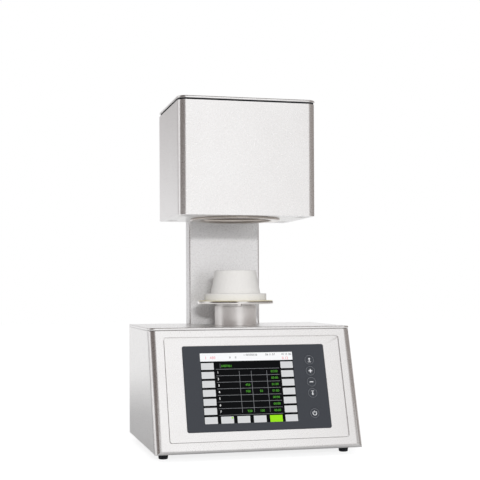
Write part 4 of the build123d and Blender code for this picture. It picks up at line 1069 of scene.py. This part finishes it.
    def camera(self, wanted):
        """The camera at the photograph's place, level, looking a little to the right."""
        camera = bpy.data.cameras.new("Camera")
        camera.sensor_width = 36.0
        camera.lens = wanted.lens
        camera.shift_y = wanted.rise
        made = bpy.data.objects.new("Camera", camera)
        turn = Matrix.Rotation(-wanted.yaw, 4, "Z") @ Matrix.Rotation(math.pi / 2 + wanted.pitch, 4, "X")
        made.matrix_world = Matrix.Translation(Vector(wanted.spot)) @ turn @ Matrix.Rotation(wanted.roll, 4, "Z")
        bpy.context.scene.collection.objects.link(made)
        bpy.context.scene.camera = made


class FURNACE_PT_panel(bpy.types.Panel):
    """Sizes, colours and build steps of the furnace."""

    bl_label = "Furnace"
    bl_idname = "FURNACE_PT_panel"
    bl_space_type = "VIEW_3D"
    bl_region_type = "UI"
    bl_category = "Furnace"

    def draw(self, context):
        for group in (FurnaceFinish, FurnacePlug, FurnaceDisplay, FurnaceStudio):
            box = self.layout.box()
            holder = getattr(context.scene, GROUPS[group])
            for name in group.__annotations__:
                box.prop(holder, name)
        for step in STEPS:
            self.layout.operator(step.bl_idname)


GROUPS = {
    FurnaceFinish: "furnace_finish",
    FurnacePlug: "furnace_plug",
    FurnaceDisplay: "furnace_display",
    FurnaceStudio: "furnace_studio",
}
STEPS = (
    FURNACE_OT_finishes,
    FURNACE_OT_housing,
    FURNACE_OT_fittings,
    FURNACE_OT_lift,
    FURNACE_OT_plug,
    FURNACE_OT_display,
    FURNACE_OT_symbols,
    FURNACE_OT_stage,
)


def register():
    """Register the settings, the steps and the panel."""
    for group, name in GROUPS.items():
        bpy.utils.register_class(group)
        setattr(bpy.types.Scene, name, bpy.props.PointerProperty(type=group))
    for step in STEPS:
        bpy.utils.register_class(step)
    bpy.utils.register_class(FURNACE_PT_panel)


def unregister():
    """Take the panel, the steps and the settings away again."""
    bpy.utils.unregister_class(FURNACE_PT_panel)
    for step in reversed(STEPS):
        bpy.utils.unregister_class(step)
    for group, name in GROUPS.items():
        delattr(bpy.types.Scene, name)
        bpy.utils.unregister_class(group)


def main():
    """Build the furnace step by step."""
    register()
    bpy.ops.furnace.finishes()
    bpy.ops.furnace.housing()
    bpy.ops.furnace.fittings()
    bpy.ops.furnace.lift()
    bpy.ops.furnace.plug()
    bpy.ops.furnace.display()
    bpy.ops.furnace.symbols()
    bpy.ops.furnace.stage()
    bpy.context.view_layer.update()


if __name__ == "__main__":
    main()
